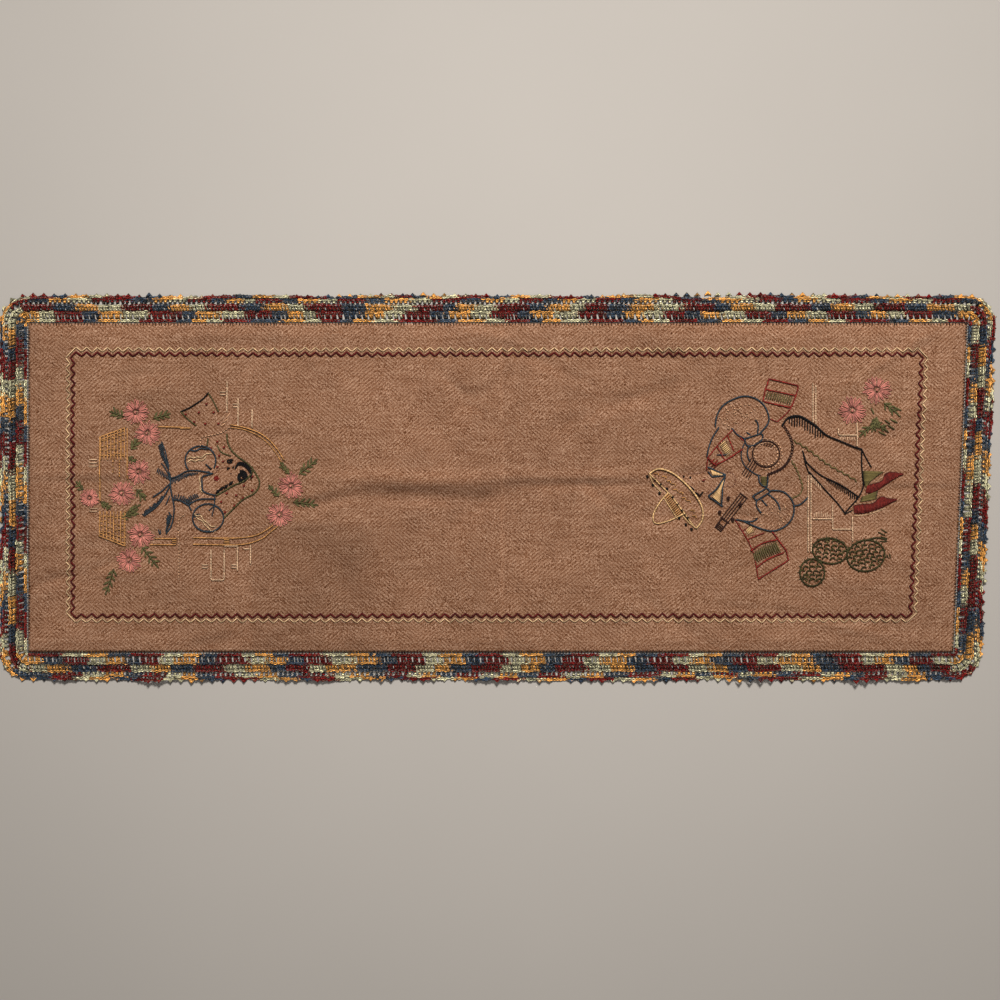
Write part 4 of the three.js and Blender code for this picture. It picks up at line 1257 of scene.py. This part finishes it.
def make_shirt(navy, tan, olive):
    """Two full sleeves, their cuffs and a hand."""
    back = Needlework(RIGHT_MOTIF, seed=57)
    arc = flowing([(-64, 62), (-62, 74), (-56, 84), (-45, 91), (-33, 94.5), (-21, 92), (-12, 85), (-7, 74),
        (-8, 65), (-17, 54)])
    back.outline(arc, 1.7)
    back.curves(PLAIN, [(-60, 61), (-67, 50), (-71, 39), (-73, 30)], [(-46, 60), (-40, 53), (-32, 49)],
        [(-21, 69), (-18, 64), (-19, 55)])
    back.stitch((-31, 56), (-26, 53), FINE)
    back.outline(flowing([(-33, 49), (-31, 43), (-27, 41), (-16, 46), (-13, 52), (-16, 55)]), PLAIN)
    back.outline([(-33, 49), (-17, 54)], PLAIN)
    back.outline(flowing([(-62, 32), (-53, 32), (-47, 35)]), FINE)
    back.finish("shirt_sleeve_back_navy", navy, "navy_thread", "shirt_sleeve_back")
    front = Needlework(RIGHT_MOTIF, seed=58)
    arc = flowing([(-5, -6), (3, -6), (10, -8), (17, -15), (20, -24), (19, -33), (14, -41), (5, -47),
        (-4, -49), (-14, -47), (-24, -43), (-35, -38), (-42, -37)])
    front.outline(arc, 1.7)
    front.outline([(-24, -12), (-9, -3), (-5, -7), (-20, -17), (-24, -12)], PLAIN)
    front.curves(PLAIN, [(-7, -10), (-2, -14), (3, -20), (5, -27)], [(-15, -15), (-9, -22)],
        [(-20, -17), (-20, -23), (-15, -30)], [(-35, -38), (-25, -39), (-19, -36)],
        [(20, -22), (26, -21), (31, -17), (35, -13)])
    front.outline([(-18, 10), (-17, 3), (-14, -1), (-9, -2), (-8, 4), (-8, 9)], PLAIN)
    front.finish("shirt_sleeve_front_navy", navy, "navy_thread", "shirt_sleeve_front")
    cuffs = Needlework(RIGHT_MOTIF, seed=59)
    cuffs.running(flowing([(-30, 47), (-27, 43.5), (-17, 47.5), (-16, 51)]), 0.8)
    cuffs.running([(-21, -13), (-9, -5.5)], 0.8)
    for a, b in (((-24, 62), (-14, 58)), ((-66, 44), (-63, 40)), ((-5, -19), (-1, -21)),
            ((-30, -32), (-26, -29)), ((14, -30), (17, -34)), ((-22, 76), (-17, 79)), ((-45, 66), (-40, 70))):
        cuffs.stitch(a, b, 0.7)
    cuffs.scatter(-35, 73, 24, 17, 44, 1.15, 2.4)
    cuffs.scatter(-4, -28, 20, 17, 34, 1.15, 2.4)
    cuffs.scatter(-58, 48, 8, 9, 6, 0.9)
    cuffs.finish("cuff_lines_tan", tan, "cream_thread")
    hand = Needlework(RIGHT_MOTIF, seed=60)
    hand.satin([(-16, 9), (-15, -1)], [(-9, 9), (-9, -1)], FINE, spacing=1.4)
    hand.finish("hand_fill_olive", olive, "olive_thread")


def make_guitar(brown, navy, tan):
    """The guitar's hole and rim, its sides and its neck with four pegs."""
    hole = Needlework(RIGHT_MOTIF, seed=61)
    hole.outline(ring(-10, 33, 14.5, 14, -150, 205, 26), FINE, stitch=2.8)
    for i in range(5):
        x = -14 + i * 2.4
        hole.stitch((x - 1, 42 - i * 0.6), (x + 2.6, 49 - i * 1.6), 0.95)
    hole.finish("guitar_hole_brown", brown, "brown_thread", "guitar_ring")
    rim = Needlework(RIGHT_MOTIF, seed=79)
    rim.running(ring(-10, 33, 12.4, 11.9, 0, 360, 26), 1.3, 2.4, 1.2)
    rim.running(ring(-10, 33, 17, 16.4, -110, 160, 26), 1.3, 2.4, 1.4)
    rim.finish("guitar_rim_tan", tan, "cream_thread")
    side = Needlework(RIGHT_MOTIF, seed=62)
    side.chain(flowing([(8, 64), (13, 56), (17, 47), (18, 37), (14, 26), (6, 17), (-8, 11)]), 2.4, 1.0)
    side.outline(flowing([(-8, 11), (6, 17), (14, 26)]), FINE)
    side.finish("guitar_side_brown", brown, "brown_thread", "guitar_side")
    bout = Needlework(RIGHT_MOTIF, seed=63)
    bout.outline(flowing([(-33, 44), (-36, 36), (-36, 28), (-33, 21), (-28, 16), (-20, 11), (-16, 10)]), FINE)
    bout.outline(flowing([(-28, 42), (-30, 35), (-29, 29), (-27, 25)]), PLAIN)
    bout.finish("guitar_bout_navy", navy, "navy_thread")
    neck = Needlework(RIGHT_MOTIF, seed=64)
    start = np.array([-33.5, -11.5])
    end = np.array([-53.5, -37.5])
    way = (end - start) / np.linalg.norm(end - start)
    across = np.array([-way[1], way[0]])
    for shift in (-4.2, -1.5, 1.3, 4.2):
        neck.outline([start + across * shift, end + across * shift], 1.1, stitch=4.5)
        neck.outline([(-22, 26) + across * shift, (-32, 9) + across * shift], 1.0, stitch=4)
    neck.outline([start - across * 4.5, start + across * 4.5], FINE)
    neck.outline([end - across * 5, end + across * 5], PLAIN)
    far = end + way * 12
    for shift in (-3.6, 3.6):
        neck.outline([end + across * shift, far + across * shift], PLAIN)
    for share in (0.55, 0.7, 0.85, 1.0):
        row = end + way * 12 * share
        neck.outline([row - across * 3.8, row + across * 3.8], 1.1, stitch=2.6)
    for x, y in ((-50, -14), (-37, -21), (-59, -29), (-45, -37)):
        neck.knot(x, y, 2.1)
        neck.knot(x, y, 1.0)
    neck.finish("guitar_neck_brown", brown, "brown_thread", "guitar_neck")


def make_serape(red, leaf, gold):
    """Three striped ends of a blanket that show behind the guitar player."""
    back = Needlework(RIGHT_MOTIF, seed=65)
    back.outline([(-6, 113), (25, 105.5), (22, 95), (17, 82), (-13, 89), (-10, 102), (-6, 113)], PLAIN)
    back.outline([(-10, 102), (22, 95)], 1.4)
    back.lines(FINE, [(17, 82), (11, 75), (2, 67)], [(2, 67), (-5, 70)])
    back.finish("serape_back_red", red, "red_thread", "serape_end_back")
    neck = Needlework(RIGHT_MOTIF, seed=66)
    neck.outline([(-45, 59), (-59, 45), (-72, 29), (-73, 16)], FINE)
    neck.outline([(-72, 29), (-64, 21), (-50, 28), (-35, 38)], PLAIN)
    neck.lines(FINE, [(-51, 53), (-44, 36)], [(-62, 41), (-54, 27)], [(-45, 59), (-34, 47)])
    for a, b in (((-68, 19), (-61, 27)), ((-66, 17), (-60, 24)), ((-70, 22), (-65, 28))):
        neck.stitch(a, b, FINE)
    neck.finish("serape_neck_red", red, "red_thread", "serape_end_neck")
    front = Needlework(RIGHT_MOTIF, seed=67)
    front.outline([(-42, -38), (-29, -59), (-22, -75), (-18, -100)], FINE)
    front.outline([(-18, -100), (14, -80), (12, -70), (-3, -50)], PLAIN)
    front.outline(flowing([(-30, -58), (-20, -54), (-12, -51)]), FINE)
    front.curves(PLAIN, [(-26, -70), (-14, -62), (2, -58)], [(-20, -88), (-8, -79), (9, -72)])
    front.outline([(-35, -49), (-30, -46)], FINE)
    front.finish("serape_front_red", red, "red_thread", "serape_end_front")
    bands = Needlework(RIGHT_MOTIF, seed=68)
    bands.satin([(-8, 99.5), (19, 94)], [(-11, 91.5), (16, 85)], 1.35, spacing=2.3)
    bands.satin([(-24, -72), (-12, -64), (1, -60)], [(-21, -84), (-8, -77), (7, -72)], 1.4, spacing=2.4)
    bands.finish("serape_bands_green", leaf, "leaf_thread")
    bars = Needlework(RIGHT_MOTIF, seed=69)
    bars.satin([(-60, 42), (-52, 30)], [(-53, 48), (-46, 35)], FINE, spacing=1.8)
    bars.satin([(-29, -53), (-22, -50)], [(-32, -47), (-26, -43)], FINE, spacing=1.5)
    bars.finish("serape_bars_gold", gold, "gold_thread")


def make_trousers(black, dark_olive):
    """Wide trousers with a wavy stripe down each leg."""
    legs = Needlework(RIGHT_MOTIF, seed=71)
    outer = flowing([(7, 63), (13, 71), (20, 73.5), (27, 73), (34, 69), (43, 63), (54, 53), (68, 47),
        (85, 40), (92, 38)])
    legs.outline(outer, 1.9, stitch=3)
    thick = flowing([(16, 71.5), (25, 72.5), (34, 68), (43, 62), (52, 54)])
    legs.outline(thick, 1.6, stitch=3)
    for i in range(14):
        x = 15 + i * 2.75
        top = np.interp(x, [13, 20, 27, 34, 43, 54], [71, 73, 72.5, 68.5, 62.5, 53])
        length = np.interp(x, [14, 18, 31, 43, 52], [6, 11, 13, 13, 5]) * legs.chance.uniform(0.8, 1.1)
        legs.stitch((x, top), (x - 0.3, top - length), 1.35)
    legs.outline(flowing([(92, 38), (92, 22), (93, 8), (94, -2), (89, -13)]), 1.5)
    legs.outline([(92, 38), (97, 28), (102, 19)], 1.4)
    legs.outline(flowing([(29, 36), (32, 26), (37, 20), (49, 10), (66, 2), (78, -5), (89, -13)]), 1.5)
    legs.outline([(29, 36), (32, 22), (36, 12)], 1.4)
    legs.teeth(flowing([(88, -11), (77, -4), (64, 3), (54, 8)]), [7, 7, 5, 3], 1.35, spacing=2.4, lean=-0.5)
    legs.outline(flowing([(36, 14), (44, 5), (54, -6), (66, -19), (74, -30)]), 1.5)
    legs.outline([(74, -30), (89, -13)], 1.4)
    legs.outline([(74, -31), (82, -27)], 1.2)
    legs.finish("trousers_black", black, "black_thread", "trousers")
    stripes = Needlework(RIGHT_MOTIF, seed=72)
    for line in ([(19, 47), (31, 40), (42, 32), (54, 23), (66, 16), (77, 10), (87, 4)],
            [(17, 25), (22, 17), (26, 8), (29, -2), (26, -10), (18, -14)]):
        wavy = spots_along(flowing(line), np.linspace(0, 1, 22))
        wavy[::2] += (0.9, 0.9)
        wavy[1::2] -= (0.7, 0.7)
        stripes.outline(wavy, 1.3, stitch=2.2)
    stripes.finish("trouser_stripes_olive", dark_olive, "olive_thread", "trouser_stripe")


def make_feet(red, olive, cream):
    """Pointed shoes and the socks above them."""
    socks = Needlework(RIGHT_MOTIF, seed=73)
    socks.satin([(93, 15), (94, 4)], [(116, 14), (102, 4)], FINE, spacing=1.4)
    socks.satin([(94, 4), (96, -2)], [(102, 4), (98, -1)], FINE, spacing=1.3)
    socks.satin([(92, -13), (90, -18)], [(110, -6), (108, -15)], FINE, spacing=1.3)
    socks.finish("socks_olive", olive, "olive_thread")
    back = Needlework(RIGHT_MOTIF, seed=74)
    back.satin(flowing([(98, 0), (106, 2), (114, 5), (117, 12), (124, 14), (136, 12)]),
        flowing([(96, -9), (104, -9), (112, -4), (119, 1), (126, 6), (136, 11)]), 1.5, spacing=1.35)
    back.satin([(98, -2), (114, 3), (134, 12)], [(98, -7), (116, -1), (134, 11)], 1.3, spacing=1.9, lift=0.35)
    back.finish("shoe_back_red", red, "red_thread", "shoe_back")
    front = Needlework(RIGHT_MOTIF, seed=75)
    front.satin(flowing([(83, -22), (92, -20), (104, -19), (112, -12), (120, -14), (129, -15)]),
        flowing([(84, -31), (93, -31), (104, -28), (113, -25), (122, -20), (129, -16)]), 1.5, spacing=1.35)
    front.satin([(86, -23), (106, -20), (127, -15)], [(86, -30), (108, -26),
        (127, -16)], 1.3, spacing=1.9, lift=0.35)
    front.finish("shoe_front_red", red, "red_thread", "shoe_front")
    soles = Needlework(RIGHT_MOTIF, seed=76)
    soles.outline(flowing([(84, -32.5), (95, -32), (106, -29), (116, -25)]), 0.7)
    soles.finish("sole_line_cream", cream, "cream_thread")


def make_window_right(white):
    """Lines and bricks of the wall behind the guitar player."""
    work = Needlework(RIGHT_MOTIF, seed=77)
    lines = [[(61, -21), (61, -47), (82, -47), (82, -34)], [(40, 108), (40, 66)], [(43, 106), (43, 64)],
        [(35, 10), (35, -71)], [(38, 10), (38, -71)], [(67, 60), (67, 53), (87, 53), (87, 66)],
        [(87, 53), (87, 41)], [(40, -36), (61, -36)], [(82, -47), (82, -60)]]
    for line in lines:
        work.outline(line, 1.5, stitch=2.6, slant=0)
    for i in range(8):
        x = 42 + i * 2.3
        work.stitch((x, -35), (x + work.chance.uniform(-0.4, 0.4), -27 - work.chance.uniform(0, 4)), 0.8)
    for i in range(7):
        x = 69.5 + i * 2.4
        work.stitch((x, 51.5), (x, 46.5 + work.chance.uniform(-0.5, 1)), 0.8)
    for i in range(5):
        x = 40 + i * 2
        work.stitch((x, 8 - i * 1.6), (x, 2 - i * 2), 0.8)
    work.finish("wall_right_white", white, "white_thread", "window_line_right")


def cactus_pad(work, x, y, across, down, turn):
    """A prickly pad: an outline, rows of hooked stitches inside and short spines outside."""
    rim = ring(0, 0, across, down, 0, 360, 30)
    angle = math.radians(turn)
    spin = np.array([[math.cos(angle), -math.sin(angle)], [math.sin(angle), math.cos(angle)]])
    work.outline(rim @ spin.T + (x, y), 1.7)
    rows = int((down - 2) / 4.5)
    for row in range(-rows, rows + 1):
        level = row * 4.5
        half = across * math.sqrt(max(0, 1 - (level / down) ** 2)) - 2.4
        count = int(half * 2 / 6.4)
        for i in range(count + 1):
            spot = np.array([-half + (2 * half) * (i + 0.5 * (row % 2)) / max(count, 1), level])
            if abs(spot[0]) > half:
                continue
            hook = ring(spot[0], spot[1], 2.7, 2.5, 15, 205, 5) + work.chance.uniform(-0.5, 0.5, 2)
            hook = hook @ spin.T + (x, y)
            work.thread(hook, [-0.2, 0.55, 0.7, 0.7, 0.55, -0.2], 0.8)
    for i in range(14):
        spine = math.radians(i * 360 / 14 + work.chance.uniform(-8, 8))
        root = np.array([across * math.cos(spine), down * math.sin(spine)])
        tip = root * (1 + 2.6 / np.linalg.norm(root))
        work.stitch(root @ spin.T + (x, y), tip @ spin.T + (x, y), 0.8)


def make_cactus(green, olive):
    """Three pads of a prickly cactus with a fine filling, and short ticks beside them."""
    work = Needlework(RIGHT_MOTIF, seed=78)
    cactus_pad(work, 39, -93, 13, 14.5, 0)
    cactus_pad(work, 58, -70, 18.5, 13.5, -8)
    cactus_pad(work, 96, -75, 20, 16.5, 12)
    for a, b in (((109, -50), (117, -54)), ((112, -47), (119, -51)), ((111, -60), (119, -60)),
            ((114, -74), (117, -77)), ((118, -74), (120, -78)), ((121, -73), (122, -78)),
            ((112, -55), (119, -57))):
        work.stitch(a, b, FINE)
    work.outline(flowing([(98, -58), (108, -56), (118, -58)]), PLAIN)
    work.finish("cactus_green", green, "cactus_thread", "cactus")
    glints = Needlework(RIGHT_MOTIF, seed=80)
    for x, y, across, down in ((39, -93, 11, 12), (58, -70, 16, 11), (96, -75, 17, 14)):
        glints.scatter(x, y, across, down, round(across * down / 6), 1.0, 2.4)
    glints.finish("cactus_filling", olive, "olive_thread")


# ---------------------------------------------------------------- table, light and camera


def make_table(finish):
    """The plain table top that the runner lies on."""
    work = bmesh.new()
    bmesh.ops.create_grid(work, x_segments=2, y_segments=2, size=4.0)
    mesh = bpy.data.meshes.new("table_top")
    work.to_mesh(mesh)
    work.free()
    mesh.materials.append(finish)
    link("table_top", mesh)


def add_soft_light(name, place, aim, width, power, tint):
    lamp = bpy.data.lights.new(name, "AREA")
    lamp.shape = "DISK"
    lamp.size = width
    lamp.energy = power
    lamp.color = tint
    light = link(name, lamp)
    light.location = place
    light.rotation_mode = "QUATERNION"
    light.rotation_quaternion = (Vector(aim) - Vector(place)).to_track_quat("-Z", "Y")


def light_the_studio():
    """A soft light behind the back edge, a weak one above and a weak even surround."""
    add_soft_light("window_light", (0.4, 2.58, 2.6), (0.03, 0.05, 0), 0.85, 112, (1.0, 0.985, 0.96))
    add_soft_light("fill_light", (0.1, -0.3, 2.2), (0.0, 0.0, 0), 1.6, 3, (1.0, 0.98, 0.96))
    world = bpy.data.worlds.new("studio")
    world.use_nodes = True
    background = world.node_tree.nodes["Background"]
    background.inputs["Color"].default_value = (1.0, 0.98, 0.955, 1)
    background.inputs["Strength"].default_value = 0.09
    bpy.context.scene.world = world
    bpy.context.scene.view_settings.view_transform = "Standard"


def add_camera():
    """Straight above the runner, which just fills the width of the view."""
    lens = 50.0
    sensor = 36.0
    view_width = 1.066
    lens_data = bpy.data.cameras.new("camera")
    lens_data.lens = lens
    lens_data.sensor_width = sensor
    camera = link("camera", lens_data)
    camera.location = (0.0023, -0.013, view_width * lens / sensor)
    bpy.context.scene.camera = camera


twill = twill_finish()
yarn = yarn_finish()
cream = thread_finish("cream_thread", dye(255, 212, 162), 0.3, sheen=0.03)
burgundy = thread_finish("burgundy_thread", dye(104, 14, 18), 0.3, sheen=0.03)
pink = thread_finish("pink_thread", dye(242, 152, 134), 0.8, sheen=0.05)
leaf_green = thread_finish("leaf_thread", dye(110, 104, 62), 0.9, sheen=0.03)
gold = thread_finish("gold_thread", dye(226, 162, 98), 0.6, sheen=0.05)
pale_gold = thread_finish("pale_gold_thread", dye(255, 206, 144), 0.4, sheen=0.05)
navy = thread_finish("navy_thread", dye(56, 70, 80), 1.1, sheen=0.03)
black = thread_finish("black_thread", dye(16, 13, 15), 0.4, sheen=0.0)
shawl_green = thread_finish("green_thread", dye(96, 92, 52), 0.6, sheen=0.03)
white = thread_finish("white_thread", dye(255, 210, 168), 0.15, sheen=0.05)
pale_tan = thread_finish("pale_tan_thread", dye(250, 192, 148), 0.15, sheen=0.05)
brown = thread_finish("brown_thread", dye(56, 28, 22), 0.5, sheen=0.03)
red = thread_finish("red_thread", dye(160, 46, 38), 0.6, sheen=0.03)
shoe_red = thread_finish("shoe_thread", dye(126, 38, 30), 0.9, sheen=0.02)
cactus_green = thread_finish("cactus_thread", dye(70, 66, 32), 0.8, sheen=0.03)
olive = thread_finish("olive_thread", dye(128, 112, 64), 0.6, sheen=0.05)
face_brown = thread_finish("face_thread", dye(150, 88, 66), 0.2)

cloth = make_cloth(twill)
edging = make_edging(yarn)
make_zigzag("burgundy_zigzag_stitches", 0, 1.75, burgundy, "burgundy_thread", "burgundy_zigzag")
make_zigzag("cream_zigzag_stitches", ZIGZAG_SPACING, 1.4, cream, "cream_thread", "cream_zigzag")
make_balcony(gold)
make_arch(gold)
make_window_left(white, pale_tan)
make_dress(navy)
make_dress_sleeves(navy, cream)
make_hair(black)
make_head(face_brown, red)
make_shawl(shawl_green)
make_fan(shawl_green, black)
make_hat(pale_gold, black, gold)
make_guitarist_face(face_brown, red)
make_neck_scarf(navy, pale_gold)
make_shirt(navy, pale_tan, olive)
make_guitar(brown, navy, pale_tan)
make_serape(red, leaf_green, pale_gold)
make_trousers(black, olive)
make_feet(shoe_red, olive, cream)
make_window_right(white)
make_cactus(cactus_green, olive)
make_flowers_and_leaves(pink, leaf_green)

make_table(table_finish())
light_the_studio()
add_camera()
